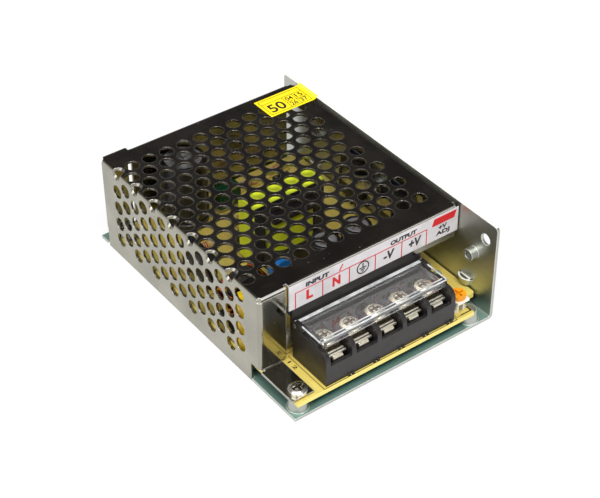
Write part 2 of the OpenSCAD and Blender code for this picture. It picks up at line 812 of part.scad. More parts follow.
module terminal_lid() {
    z0 = lid_top - lid_skirt;
    color("whitesmoke", 0.35) difference() {
        union() {
            translate([block_x - lid_half, lid_f, z0]) rotate([90, 0, 90]) linear_extrude(2 * lid_half) lid_outline();
            for (s = [-1, 1]) {
                translate([block_x + s * (lid_half - lid_t / 2) - lid_t / 2, lid_f + 0.5, z0])
                    cube([lid_t, lid_d - 0.5 - barrel_r, lid_skirt - 0.3]);
                x_cylinder(block_x + (s > 0 ? lid_half - lid_t : -end_out + 0.1), lid_pivot_y, lid_pivot_z,
                    lid_pin_d, end_out - lid_half + lid_t - 0.1);
            }
        }
        translate([block_x - lid_half + lid_rim, lid_f + lid_rim, lid_top - lid_sink])
            cube([2 * (lid_half - lid_rim), lid_d - 2 * lid_rim, 1]);
        for (s = [-1, 1])
            translate([block_x + s * lid_half, lid_f - 1, lid_top]) rotate([0, 45, 0])
                translate([-0.45, 0, -0.45]) cube([0.9, lid_d + 2, 0.9]);
    }
}

// ---------- trimmer and indicator ----------

module trimmer_body() {
    color("white") translate([trim_x, trim_y, board_top]) difference() {
        union() {
            rounded_plan(trim_w - 1.2, 3.4, 0.5, trim_plate_z - board_top);
            translate([-trim_w / 2, -1.3, 0]) cube([trim_w, 2.6, 1]);
            translate([0, 0, trim_plate_z - board_top]) linear_extrude(trim_plate_t) difference() {
                square([trim_w, 5.6], center = true);
                for (s = [-1, 1])
                    translate([s * (trim_w / 2 + 0.5), 0]) circle(0.9);
            }
        }
        translate([0, -1, 1.2]) cube([1.6, 4, 4], center = true);
        translate([0, 0, 2]) cylinder(d = knob_stem_d + 0.1, h = 6);
    }
}

module trimmer_knob() {
    color("orange") translate([trim_x, trim_y, trim_plate_z + trim_plate_t + 0.05]) difference() {
        union() {
            cylinder(d = trim_d, h = trim_knob_h);
            translate([0, 0, -2.4]) cylinder(d = knob_stem_d, h = 2.5);
            translate([0, trim_d * 0.29, 0]) cylinder(d = trim_d * 0.42, h = trim_knob_h);
        }
        translate([-trim_d * 0.36, -0.35, trim_knob_h - 0.8]) cube([trim_d * 0.72, 0.7, 1]);
        translate([-0.35, -trim_d * 0.36, trim_knob_h - 0.8]) cube([0.7, trim_d * 0.72, 1]);
    }
}

module indicator_led() {
    color("lime") translate([led_x, cov_f - 0.6, board_top]) {
        for (x = [-1.27, 1.27])
            translate([x - 0.25, -0.25, 0]) cube([0.5, 0.5, 1.1]);
        translate([0, 0, 1]) cylinder(d = led_d + 0.8, h = 1);
        translate([0, 0, 2 - eps]) cylinder(d = led_d, h = 2.6);
        translate([0, 0, 4.6 - 2 * eps]) intersection() {
            sphere(d = led_d);
            cylinder(d = led_d + 1, h = led_d);
        }
    }
}

// ---------- mains side ----------

module film_capacitor() {
    color("gold") translate([film_x, film_y, board_top + 0.4]) {
        translate([film_r, 0, 0]) cube([film_w - 2 * film_r, film_l, film_h]);
        translate([0, film_r, 0]) cube([film_w, film_l - 2 * film_r, film_h]);
        for (sx = [film_r, film_w - film_r], sy = [film_r, film_l - film_r])
            translate([sx, sy, 0]) cylinder(r = film_r, h = film_h);
        for (y = [2, film_l - 2])
            translate([film_w / 2, y, -0.4]) cylinder(d = lead_d, h = 0.5);
    }
}

module mains_fuse() {
    color("white") translate([fuse_x, cov_f + 5.5, board_top + 3.2]) {
        rotate([0, 90, 0]) cylinder(d = fuse_d, h = fuse_l);
        for (x = [-0.6, fuse_l - 3.6])
            translate([x, 0, 0]) rotate([0, 90, 0]) cylinder(d = fuse_d + 0.6, h = 4.2);
        for (x = [1.4, fuse_l - 1.6])
            translate([x - 0.5, -1.4, -3.2]) cube([1, 2.8, 1.4]);
    }
}

// disc on edge with two leads
module disc_part(d, t) {
    y_cylinder(0, -t / 2, d / 2 + 1.8, d, t);
    for (x = [-2.5, 2.5])
        translate([x, 0, 0]) cylinder(d = lead_d, h = d / 2 - 0.8);
}

module thermistor() {
    color("darkolivegreen") translate([ntc_x, cov_f + 5.2, board_top]) disc_part(ntc_d, 3.2);
}

// ring round the Y axis with a rectangular section
module upright_ring(d_out, d_in, t) {
    rotate([90, 0, 0]) translate([0, 0, -t / 2]) difference() {
        cylinder(d = d_out, h = t);
        translate([0, 0, -1]) cylinder(d = d_in, h = t + 2);
    }
}

module choke_core() {
    color("#1d1d1f") translate([choke_x, choke_y, choke_z]) {
    upright_ring(choke_d - 2 * wire_d - 0.2, choke_in + 2 * wire_d + 0.2, choke_t - 2 * wire_d - 0.4);
        translate([-0.7, -choke_t / 2, -choke_d / 2]) cube([1.4, choke_t, choke_d]);
        translate([-choke_d / 2, -choke_t / 2 - 1, -choke_z + board_top]) cube([choke_d, choke_t + 2, 1.2]);
    }
}

// one copper turn round the ring
module choke_turn() {
    w = (choke_d - choke_in) / 2;
    rotate([90, 0, 0]) translate([0, 0, -turn_t / 2]) difference() {
        rounded_plan(w, choke_t, 1.2, turn_t);
        translate([0, 0, -1]) rounded_plan(w - 2 * wire_d, choke_t - 2 * wire_d, 0.25, turn_t + 2);
    }
}

// copper turns on the two halves of the ring
module choke_windings() {
    color("#b5651d") translate([choke_x, choke_y, choke_z]) rotate([90, 0, 0])
        for (side = [0, 180], k = [0 : turn_count - 1])
            rotate([0, 0, side - 90 + (180 - turn_step * (turn_count - 1)) / 2 + k * turn_step])
                translate([(choke_d + choke_in) / 4, 0, 0]) choke_turn();
}

module bridge_rectifier() {
    color("#161616") translate([x_l + 8, bridge_y, board_top]) {
        translate([0, 0, 3]) cube([3.8, 14.5, 10.6]);
        for (k = [0 : 3])
            translate([1.5, 1.6 + k * 3.7, 0]) cube([0.6, 0.9, 3 + eps]);
    }
}

module bulk_capacitor() {
    h = bulk_h;
    r = bulk_d / 2;
    color("#141414") translate([bulk_x, bulk_y, board_top]) rotate_extrude()
        difference() {
            union() {
                square([r - 1, h]);
                translate([0, 1]) square([r, h - 2]);
                for (z = [1, h - 1])
                    translate([r - 1, z]) circle(1);
            }
            translate([r + 0.35, 3.2]) circle(0.9);
            translate([-eps, h - 0.4]) square([r - 1.7, 1]);
            translate([-r, -1]) square([r, h + 2]);
        }
}

// ---------- transformer ----------

module transformer_core() {
    color("#2a2a2c") translate([tr_x, tr_y, tr_z]) {
        for (z = [0, core_h - tr_yoke])
            translate([-core_w / 2, -core_d / 2, z]) cube([core_w, core_d, tr_yoke]);
        for (x = [-core_w / 2, core_w / 2 - tr_leg])
            translate([x, -core_d / 2, 0]) cube([tr_leg, core_d, core_h]);
        cylinder(d = tr_centre_leg_d, h = core_h);
    }
}

module transformer_bobbin() {
    color("#171717") translate([tr_x, tr_y, 0]) difference() {
        union() {
            for (z = [win_z - bob_flange_t, win_z + win_h])
                translate([0, 0, z]) rounded_plan(win_w + 0.2, win_d + 1.6, 1, bob_flange_t);
            translate([0, 0, win_z - eps]) cylinder(d = tr_centre_leg_d + 1.6, h = win_h + 2 * eps);
            // pin rails at the front and the back
            for (s = [-1, 1])
                translate([-11.5, s * (core_d / 2 + 3.4) - 2.4, board_top + 0.3])
                    cube([23, 4.8, win_z - bob_flange_t - board_top - 0.3 + eps]);
            for (s = [-1, 1], k = [0 : 4])
                translate([(k - 2) * 5, s * (core_d / 2 + 4.4), board_top]) cylinder(d = 0.8, h = 1);
        }
        translate([0, 0, board_top]) cylinder(d = tr_centre_leg_d + 0.2, h = core_h + 2);
    }
}

module transformer_winding() {
    color("#b9b928") translate([tr_x, tr_y, win_z]) difference() {
        rounded_plan(win_w - 0.6, win_d, win_r, win_h);
        translate([0, 0, -1]) cylinder(d = tr_centre_leg_d + 1.7, h = win_h + 2);
    }
}

// band of tape wrapped round the outside of the core
module transformer_tape() {
    color("#dbe62e") translate([tr_x, tr_y, tr_z]) difference() {
        translate([-core_w / 2 - tape_t, -core_d / 2 + 0.2, -tape_t])
            cube([core_w + 2 * tape_t, core_d - 0.4, core_h + 2 * tape_t]);
        translate([-core_w / 2, -core_d, 0]) cube([core_w, 2 * core_d, core_h]);
    }
}

// ---------- devices on the side wall ----------

module power_device(y) {
    translate([dev_x, y - dev_w / 2, dev_z]) difference() {
        union() {
            cube([dev_t, dev_w, dev_h]);
            for (k = [-1, 0, 1])
                translate([1.4, dev_w / 2 + k * 2.5 - 0.4, board_top - dev_z]) cube([0.6, 0.8, dev_z - board_top + eps]);
        }
        translate([-1, dev_w / 2, dev_h - 3.4]) rotate([0, 90, 0]) cylinder(d = 3.2, h = dev_t + 2);
        translate([-1, -1, dev_h - 6.6]) cube([1.6, dev_w + 2, 7]);
    }
}

module power_transistor() {
    color("#18181a") power_device(trans_y);
}

module output_rectifier() {
    color("#18181a") power_device(rect_y);
}

module thermal_pads() {
    color("lightslategray") for (y = [rect_y, trans_y])
        translate([wall_in - pad_t, y - dev_w / 2 - 1, dev_z - 1]) cube([pad_t, dev_w + 2, dev_h + 2]);
}

module device_clip() {
    half = (trans_y - rect_y) / 2 + 2.2;
    low_x = wall_in - base_collar_h;
    color("gainsboro") translate([0, clip_y, clip_z]) difference() {
        union() {
            // foot on the collar, two sloping arms and two pressing ends
            translate([low_x - clip_t, -3.4, -clip_w / 2]) cube([clip_t, 6.8, clip_w]);
            translate([0, 0, -clip_w / 2]) linear_extrude(clip_w) for (s = [-1, 1])
                polygon([[low_x, s * 3.3], [dev_x, s * 5.2], [dev_x, s * half],
                    [dev_x - clip_t, s * half], [dev_x - clip_t, s * 4.9], [low_x - clip_t, s * 3.0]]);
        }
        x_cylinder(low_x - clip_t - 1, 0, 0, screw_d + 0.3, clip_t + 2);
    }
}

module clip_screw() {
    color("gainsboro") translate([wall_in - base_collar_h - clip_t, clip_y, clip_z]) rotate([0, -90, 0])
        pan_screw(pan_d, pan_h, tap_d - 0.1, clip_t + base_collar_h);
}

// ---------- output side ----------

module electrolytic(d, h) {
    r = d / 2;
    rotate_extrude() difference() {
        union() {
            square([r - 0.7, h]);
            translate([0, 0.7]) square([r, h - 1.4]);
            for (z = [0.7, h - 0.7])
                translate([r - 0.7, z]) circle(0.7);
        }
        translate([r + 0.3, 2.4]) circle(0.7);
        translate([-eps, h - 0.3]) square([r - 1.2, 1]);
        translate([-r, -1]) square([r, h + 2]);
    }
}

module output_capacitors() {
    color("#1a1a1a") for (x = [board_r - out_cap_in - out_cap_step, board_r - out_cap_in])
        translate([x, cov_f + out_cap_back, board_top]) electrolytic(out_cap_d, out_cap_h);
}

module output_choke() {
    color("#20301c") translate([board_r - out_choke_in, cov_f + out_choke_back, board_top]) {
        cylinder(d = out_choke_d, h = out_choke_flange);
        translate([0, 0, out_choke_flange - eps]) cylinder(d = out_choke_d - 0.8, h = out_choke_h);
        translate([0, 0, out_choke_flange + out_choke_h - 2 * eps]) cylinder(d = out_choke_d, h = out_choke_flange);
    }
}

module safety_capacitors() {
    color("#1f78c8") for (p = [[tr_x - disc_left, tr_y - disc_ahead], [fuse_x + disc_fuse_x, cov_f + disc_front]])
        translate([p[0], p[1], board_top]) disc_part(disc_d, disc_t);
}

module snubber_capacitor() {
    color("#1f5a34") translate([bulk_x + bulk_d / 2 + snub_gap, bulk_y - snub_ahead, board_top]) {
        translate([-snub_l / 2, -snub_t / 2, 1.2]) cube([snub_l, snub_t, snub_h]);
        for (x = [-snub_l / 2 + 1.7, snub_l / 2 - 1.7])
            translate([x, 0, 0]) cylinder(d = 0.8, h = 1.3);
    }
}

module control_chip() {
    color("#121212") translate([board_r - chip_in, back_flange_y - chip_ahead, board_top]) {
        translate([0, 0, 0.6]) cube([chip_w, chip_l, chip_h]);
        for (k = [0 : 3], x = [-0.7, chip_w])
            translate([x, 0.8 + k * 2.4, 0]) cube([0.7, 0.6, 2.6]);
    }
}

module optocoupler() {
    color("#e8e8e4") translate([tr_x + core_w / 2 + opto_gap, tr_y + opto_back, board_top]) {
        translate([0, 0, 0.6]) cube([chip_w, opto_l, chip_h]);
        for (k = [0, 1], x = [-0.7, chip_w])
            translate([x, 0.8 + k * 2.4, 0]) cube([0.7, 0.6, 2.6]);
    }
}

module axial_resistor(len, d) {
    translate([0, 0, d / 2 + 0.2]) {
        rotate([0, 90, 0]) cylinder(d = d, h = len);
        for (x = [0, len - 1.6])
            translate([x, 0, 0]) rotate([0, 90, 0]) cylinder(d = d + 0.4, h = 1.6);
    }
    for (x = [-1.6, len + 1])
        translate([x, -0.3, 0]) cube([0.6, 0.6, d / 2 + 0.5]);
    for (x = [-1.6, len])
        translate([x, -0.3, d / 2 - 0.1]) cube([1.6, 0.6, 0.6]);
}

module resistors() {
    color("#c9a86a") for (p = [[tr_x - res_tr_left, min(tr_y + res_tr_back, res_y_max), res_big_l, res_big_d],
        [bulk_x + res_bulk_right, back_flange_y - res_bulk_ahead, res_l, res_d],
        [choke_x + res_choke_right, min(bridge_y + res_bridge_back, res_y_max), res_l, res_d],
        [board_r - res_edge_in, back_flange_y - res_edge_ahead, res_l, res_d]])
        translate([p[0], p[1], board_top]) axial_resistor(p[2], p[3]);
}

chassis();
cover();
tab_screws();
cover_side_screws();
insulating_sheet();
circuit_board();
terminal_block();
terminal_contacts();
clamp_plate(0);  // clamp_plate_1
clamp_plate(1);  // clamp_plate_2
clamp_plate(2);  // clamp_plate_3
clamp_plate(3);  // clamp_plate_4
clamp_plate(4);  // clamp_plate_5
terminal_screw(0);  // terminal_screw_1
terminal_screw(1);  // terminal_screw_2
terminal_screw(2);  // terminal_screw_3
terminal_screw(3);  // terminal_screw_4
terminal_screw(4);  // terminal_screw_5
terminal_lid();
trimmer_body();
trimmer_knob();
indicator_led();
mains_fuse();
film_capacitor();
thermistor();
choke_core();
choke_windings();
bridge_rectifier();
bulk_capacitor();
transformer_core();
transformer_bobbin();
transformer_winding();
transformer_tape();
power_transistor();
output_rectifier();
thermal_pads();
device_clip();
clip_screw();
output_capacitors();
output_choke();
safety_capacitors();
snubber_capacitor();
control_chip();
optocoupler();
resistors();
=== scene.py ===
"""Looks of a small enclosed power supply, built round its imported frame."""

import math

import bmesh
import bpy
from mathutils import Matrix, Vector


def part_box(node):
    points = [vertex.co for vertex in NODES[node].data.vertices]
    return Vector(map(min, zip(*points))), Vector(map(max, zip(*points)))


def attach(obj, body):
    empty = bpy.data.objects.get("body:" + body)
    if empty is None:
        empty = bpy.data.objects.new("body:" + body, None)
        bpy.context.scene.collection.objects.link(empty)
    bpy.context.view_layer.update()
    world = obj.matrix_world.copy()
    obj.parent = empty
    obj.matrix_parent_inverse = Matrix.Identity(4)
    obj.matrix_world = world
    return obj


bl_info = {
    "name": "Mesh Case Power Supply",
    "version": (1, 0, 0),
    "blender": (4, 5, 0),
    "location": "3D View > Sidebar > Power Supply",
    "description": "Finishes the case, board, terminals and inner parts of a small power supply",
    "category": "Object",
}

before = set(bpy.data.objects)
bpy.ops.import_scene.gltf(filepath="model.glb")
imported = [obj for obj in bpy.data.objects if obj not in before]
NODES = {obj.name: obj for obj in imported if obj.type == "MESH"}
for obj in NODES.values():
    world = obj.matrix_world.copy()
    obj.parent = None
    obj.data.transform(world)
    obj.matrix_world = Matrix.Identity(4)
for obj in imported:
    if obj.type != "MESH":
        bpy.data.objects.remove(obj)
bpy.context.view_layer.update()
MM = 0.001

COVER_LO, COVER_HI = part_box("cover")
CHASSIS_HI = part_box("chassis")[1]
BOARD_LO, BOARD_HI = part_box("circuit_board")
BLOCK_LO, BLOCK_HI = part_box("terminal_block")
LID_LO, LID_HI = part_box("terminal_lid")
BOARD_TOP = BOARD_HI[2]
# plane of the cover's front flange, at the back of the terminal bay
BAY_Y = -0.0375
# thickness of the cover sheet and of the chassis sheet
COVER_T = 0.0008
CHASSIS_T = 0.001
# lanced hooks of the side wall: middles, half length, reach and height of the top
HOOK_YS = (-0.04275, 0.036)
HOOK_HALF = 0.003
HOOK_OUT = 0.0022
HOOK_TOP = 0.0098
# front label in mm: left edge and the red lines between the terminals' fields
LABEL_LEFT = -28.1
LABEL_LINES = (-25.8, -15.7, -5.6, 4.4, 14.8, 24.7)
# the label's black words: text, left, low, right and high edge in mm, weight, lean
LABEL_WORDS = (
    ("INPUT", -22.0, 31.8, -13.2, 33.5, 0.05, 0.05), ("OUTPUT", 10.2, 31.8, 20.6, 33.5, 0.05, 0.05),
    ("-V", 7.6, 27.0, 11.9, 30.3, 0.035, 0.12), ("+V", 17.6, 26.9, 22.6, 30.3, 0.035, 0.12),
    ("+V", 29.6, 28.7, 33.0, 30.5, 0.035), ("ADJ", 28.6, 26.3, 34.2, 28.3, 0.035))
# the earth sign's middle on the label in mm
EARTH_X, EARTH_Z = -0.4, 28.7
# sticker: front and back edge, left end, place of the fold, drop down the wall's outside
STICKER_YS = (0.0365, 0.0470)
STICKER_LEFT = 0.0194
STICKER_FOLD = 0.0372
STICKER_DROP = 0.0062
# how far film and print lie off the face they sit on
LIFT = 0.00002
# camera place, turn in degrees and lens in mm
CAMERA_PLACE = (-0.2348, -0.3221, 0.3317)
CAMERA_TURN = (51.214, 0.21, -36.699)
CAMERA_LENS = 94.63


# ---------- materials: node helpers ----------

def rgb(r, g, b):
    """Linear colour from 0-255 display values."""
    return tuple((v / 255 / 12.92 if v / 255 <= 0.04045 else ((v / 255 + 0.055) / 1.055) ** 2.4)
                 for v in (r, g, b)) + (1.0,)


class Build:
    """Short hand for making nodes in one tree."""

    def __init__(self, tree):
        self.t = tree

    def node(self, kind, **values):
        n = self.t.nodes.new(kind)
        for key, value in values.items():
            setattr(n, key, value)
        return n

    def link(self, a, b):
        self.t.links.new(a, b)

    def feed(self, socket, value):
        if isinstance(value, bpy.types.NodeSocket):
            self.link(value, socket)
        else:
            socket.default_value = value

    def math(self, op, a, b=0.0, clamp=False):
        n = self.node("ShaderNodeMath", operation=op, use_clamp=clamp)
        self.feed(n.inputs[0], a)
        self.feed(n.inputs[1], b)
        return n.outputs[0]

    def times(self, a, b, clamp=False):
        """Product of two masks."""
        return self.math("MULTIPLY", a, b, clamp)

    def rest(self, a):
        """What a mask leaves over."""
        return self.math("SUBTRACT", 1.0, a)

    def ramp(self, value, lo, hi, out_lo=0.0, out_hi=1.0):
        n = self.node("ShaderNodeMapRange")
        self.feed(n.inputs[0], value)
        for i, v in enumerate((lo, hi, out_lo, out_hi)):
            self.feed(n.inputs[i + 1], v)
        return n.outputs[0]

    def mix(self, mask, a, b):
        n = self.node("ShaderNodeMix", data_type="RGBA")
        self.feed(n.inputs[0], mask)
        self.feed(n.inputs[6], a)
        self.feed(n.inputs[7], b)
        return n.outputs[2]

    def coords(self, scale=(1, 1, 1), turn=(0, 0, 0)):
        c = self.node("ShaderNodeTexCoord")
        m = self.node("ShaderNodeMapping")
        self.link(c.outputs["Object"], m.inputs[0])
        m.inputs["Scale"].default_value = scale
        m.inputs["Rotation"].default_value = turn
        return m.outputs[0]

    def noise(self, vector, scale, detail=3.0, rough=0.55):
        n = self.node("ShaderNodeTexNoise")
        self.link(vector, n.inputs["Vector"])
        self.feed(n.inputs["Scale"], scale)
        n.inputs["Detail"].default_value = detail
        n.inputs["Roughness"].default_value = rough
        return n.outputs[0]

    def axis(self, vector, i):
        n = self.node("ShaderNodeSeparateXYZ")
        self.link(vector, n.inputs[0])
        return n.outputs[i]


GROUPS = {}


def group(name, inputs, outputs):
    """A shader group with float or colour sockets; returns it with its Build and ends."""
    tree = bpy.data.node_groups.new(name, "ShaderNodeTree")
    for label, kind, value in inputs:
        s = tree.interface.new_socket(name=label, in_out="INPUT", socket_type="NodeSocket" + kind)
        s.default_value = value
    for label, kind in outputs:
        tree.interface.new_socket(name=label, in_out="OUTPUT", socket_type="NodeSocket" + kind)
    b = Build(tree)
    ins = tree.nodes.new("NodeGroupInput").outputs
    outs = tree.nodes.new("NodeGroupOutput").inputs
    GROUPS[name] = tree
    return b, ins, outs


def make_groups():
    # speckle: soft patches of lighter and darker tone, and a fine grain
    b, i, o = group("Mottle", [("Scale", "Float", 200.0), ("Fine Scale", "Float", 2500.0)],
                    [("Patches", "Float"), ("Grain", "Float")])
    v = b.coords()
    b.link(b.noise(v, i["Scale"], 4.0, 0.6), o["Patches"])
    b.link(b.noise(v, i["Fine Scale"], 2.0, 0.5), o["Grain"])

    # rubs: long thin scratches in two directions
    b, i, o = group("Scratches", [("Scale", "Float", 60.0), ("Amount", "Float", 0.5)],
                    [("Mask", "Float")])
    total = None
    for turn, stretch in ((0.45, 0.02), (-0.9, 0.03), (1.4, 0.05)):
        n = b.noise(b.coords(scale=(stretch, 1.0, 1.0), turn=(turn * 0.4, 0.2, turn)), 0.0, 2.0, 0.4)
        tex = n.node
        b.link(b.times(i["Scale"], 40.0), tex.inputs["Scale"])
        line = b.ramp(n, 0.66, 0.74)
        total = line if total is None else b.math("MAXIMUM", total, line)
    patchy = b.ramp(b.noise(b.coords(), 45.0, 2.0), 0.45, 0.65)
    b.link(b.times(b.times(total, patchy), i["Amount"], True), o["Mask"])

    # dust: tiny pale specks
    b, i, o = group("Dust", [("Scale", "Float", 900.0), ("Amount", "Float", 0.5)],
                    [("Mask", "Float")])
    cell = b.node("ShaderNodeTexVoronoi")
    b.link(b.coords(), cell.inputs["Vector"])
    b.link(i["Scale"], cell.inputs["Scale"])
    speck = b.ramp(cell.outputs["Distance"], 0.16, 0.05)
    keep = b.ramp(b.axis(cell.outputs["Color"], 0), 0.80, 0.86)
    b.link(b.times(b.times(speck, keep), i["Amount"], True), o["Mask"])

    # edges: where a small fillet would turn the surface
    b, i, o = group("Edge Mask", [("Amount", "Float", 1.0), ("Radius", "Float", 0.00025)],
                    [("Mask", "Float"), ("Normal", "Vector")])
    bev = b.node("ShaderNodeBevel", samples=4)
    b.link(i["Radius"], bev.inputs["Radius"])
    geo = b.node("ShaderNodeNewGeometry")
    dot = b.node("ShaderNodeVectorMath", operation="DOT_PRODUCT")
    b.link(bev.outputs[0], dot.inputs[0])
    b.link(geo.outputs["Normal"], dot.inputs[1])
    b.link(b.times(b.ramp(dot.outputs["Value"], 0.995, 0.93), i["Amount"], True), o["Mask"])
    b.link(bev.outputs[0], o["Normal"])


def use(b, name, **values):
    """Places a shader group with its own values; returns its outputs."""
    n = b.node("ShaderNodeGroup")
    n.node_tree = GROUPS[name]
    for key, value in values.items():
        b.feed(n.inputs[key.replace("_", " ")], value)
    return n.outputs


def material(name, colour, rough=0.5, metal=0.0, **plain):
    """A new material with its Build and its Principled shader."""
    m = bpy.data.materials.new(name)
    m.use_nodes = True
    m.node_tree.nodes.clear()
    b = Build(m.node_tree)
    p = b.node("ShaderNodeBsdfPrincipled")
    out = b.node("ShaderNodeOutputMaterial")
    b.link(p.outputs[0], out.inputs[0])
    b.feed(p.inputs["Base Color"], colour)
    b.feed(p.inputs["Roughness"], rough)
    b.feed(p.inputs["Metallic"], metal)
    for key, value in plain.items():
        b.feed(p.inputs[key.replace("_", " ")], value)
    return m, b, p


def principled(m):
    """The Principled shader of a material."""
    return [n for n in m.node_tree.nodes if n.type == "BSDF_PRINCIPLED"][0]


def tint(b, p, mask, colour):
    """Lays a colour over a finish where a mask is 1."""
    b.feed(p.inputs["Base Color"], b.mix(mask, p.inputs["Base Color"].links[0].from_socket, colour))


def blend(m, b, mask, one, two):
    """Ends a material in a mix of two shaders."""
    mixer = b.node("ShaderNodeMixShader")
    b.link(mask, mixer.inputs[0])
    b.link(one, mixer.inputs[1])
    b.link(two, mixer.inputs[2])
    out = [n for n in m.node_tree.nodes if n.type == "OUTPUT_MATERIAL"][0]
    b.link(mixer.outputs[0], out.inputs[0])


def seen_rays(b):
    """1 for the rays that show a surface instead of lighting by it."""
    path = b.node("ShaderNodeLightPath")
    return b.math("MAXIMUM", path.outputs["Is Camera Ray"],
                  b.math("MAXIMUM", path.outputs["Is Glossy Ray"], path.outputs["Is Transmission Ray"]))


def bump(b, p, height, strength, distance=0.0002, normal=None):
    n = b.node("ShaderNodeBump")
    n.inputs["Strength"].default_value = strength
    n.inputs["Distance"].default_value = distance
    b.link(height, n.inputs["Height"])
    if normal is not None:
        b.link(normal, n.inputs["Normal"])
    b.link(n.outputs[0], p.inputs["Normal"])


def facing(b, i):
    """Absolute value of the surface normal's part along axis i, in object space."""
    geo = b.node("ShaderNodeNewGeometry")
    return b.math("ABSOLUTE", b.axis(geo.outputs["True Normal"], i))


def moulded(name, colour, rough=0.45, grain=0.12, pale_edge=0.25, patch=0.12):
    """Moulded plastic: faint patches, a fine grain and slightly paler edges."""
    m, b, p = material(name, colour, rough)
    mot = use(b, "Mottle", Scale=240.0, Fine_Scale=5200.0)
    edge = use(b, "Edge Mask", Amount=pale_edge)
    dark = tuple(c * 0.72 for c in colour[:3]) + (1,)
    pale = tuple(min(1, c * 1.3 + 0.05) for c in colour[:3]) + (1,)
    base = b.mix(b.ramp(mot["Patches"], 0.35, 0.7, 0, patch * 2), colour, dark)
    b.feed(p.inputs["Base Color"], b.mix(edge["Mask"], base, pale))
    b.feed(p.inputs["Roughness"], b.ramp(mot["Patches"], 0.3, 0.7, rough - 0.07, rough + 0.08))
    bump(b, p, mot["Grain"], grain, 0.00004, edge["Normal"])
    return m


def plated(name, colour, rough=0.2, dull=None, bare=1.0):
    """Plated metal: bright, with dull patches and painted highlights on its edges."""
    m, b, p = material(name, colour, rough, bare)
    mot = use(b, "Mottle", Scale=420.0, Fine_Scale=4200.0)
    edge = use(b, "Edge Mask", Amount=0.4)
    dull = dull or tuple(c * 0.6 for c in colour[:3]) + (1,)
    bright = tuple(min(1, c * 1.25) for c in colour[:3]) + (1,)
    base = b.mix(b.ramp(mot["Patches"], 0.45, 0.75), colour, dull)
    # painted highlight: the edges mix to a brighter tone
    b.feed(p.inputs["Base Color"], b.mix(edge["Mask"], base, bright))
    b.feed(p.inputs["Roughness"], b.ramp(mot["Patches"], 0.3, 0.75, rough * 0.7, rough * 1.6))
    bump(b, p, mot["Grain"], 0.1, 0.00003, edge["Normal"])
    return m


MATS = {}


def step_over(b, value, edge, soft=0.00004):
    """1 where value is above edge."""
    return b.ramp(value, edge - soft, edge + soft)


def sheet_metal(name, s):
    """Cover sheet: smooth tinplate; its top carries a painted dark reflection, its bends and outer edges
    painted highlights and its hole walls painted shade.
    """
    m, b, p = material(name, (0.5, 0.5, 0.5, 1), 0.2, 1.0)
    v = b.coords()
    x, y, z = (b.axis(v, i) for i in range(3))
    mot = use(b, "Mottle", Scale=70.0, Fine_Scale=2400.0)
    rub = use(b, "Scratches", Scale=60.0, Amount=0.6)
    dust = use(b, "Dust", Scale=420.0, Amount=0.5)
    edge = use(b, "Edge Mask", Amount=0.9, Radius=0.0003)
    up = facing(b, 2)
    # painted highlights: the rims of the vents stay dull; only bends and outer edges get a pale, less
    # metallic painted highlight
    vents = b.times(b.rest(step_over(b, x, COVER_HI[0] - 0.0016)),
                   step_over(b, y, BAY_Y + 0.0016))
    painted_highlight = b.times(edge["Mask"], b.rest(b.times(vents, 0.8)))
    bend_highlight = b.times(b.rest(step_over(b, y, BAY_Y + 0.00045)),
                  step_over(b, z, COVER_HI[2] - 0.0005))
    painted_highlight = b.math("MAXIMUM", painted_highlight, b.times(bend_highlight, 0.8))
    pale = b.mix(b.ramp(mot["Patches"], 0.35, 0.65), tuple(s.side_colour) + (1,), rgb(156, 154, 142))
    # painted reflection: the top's dark tone stands for the dark surround it mirrors; the sheet is otherwise
    # the pale metal of the sides
    dark = b.mix(b.ramp(mot["Patches"], 0.35, 0.65), tuple(s.painted_top_reflection) + (1,), rgb(80, 75, 70))
    in_sheet = step_over(b, z, COVER_HI[2] - COVER_T - 0.00005)
    is_top = b.times(b.ramp(up, 0.55, 0.97), in_sheet)
    # walls of the punched holes in the top, darkened as painted shade
    inner = b.times(step_over(b, x, COVER_LO[0] + 0.0012), step_over(b, y, BAY_Y + 0.0012))
    inner = b.times(inner, b.rest(b.ramp(up, 0.2, 0.5)))
    inner = b.times(inner, in_sheet)
    # painted reflection laid on the top face
    base = b.mix(is_top, pale, dark)
    base = b.mix(inner, base, rgb(112, 106, 98))
    base = b.mix(b.times(rub["Mask"], 0.5), base, rgb(150, 146, 142))
    base = b.mix(b.times(dust["Mask"], is_top), base, rgb(196, 190, 182))
    # painted highlight: edges and bends mix to near white
    base = b.mix(b.times(painted_highlight, 0.9), base, rgb(234, 232, 226))
    b.feed(p.inputs["Base Color"], base)
    b.feed(p.inputs["Metallic"], b.rest(b.times(painted_highlight, 0.6)))
    # the panel and the tab at the front left are the brightest, most mirror-like faces
    front = b.times(b.rest(step_over(b, y, BAY_Y + 0.0004)),
                   b.rest(step_over(b, x, -0.0290)))
    rough = b.ramp(mot["Patches"], 0.3, 0.7, 0.2, 0.33)
    rough = b.math("SUBTRACT", rough, b.times(front, 0.14))
    b.feed(p.inputs["Roughness"], b.math("ADD", rough, b.times(dust["Mask"], 0.4), True))
    bump(b, p, mot["Grain"], 0.09, 0.00003, edge["Normal"])
    return m


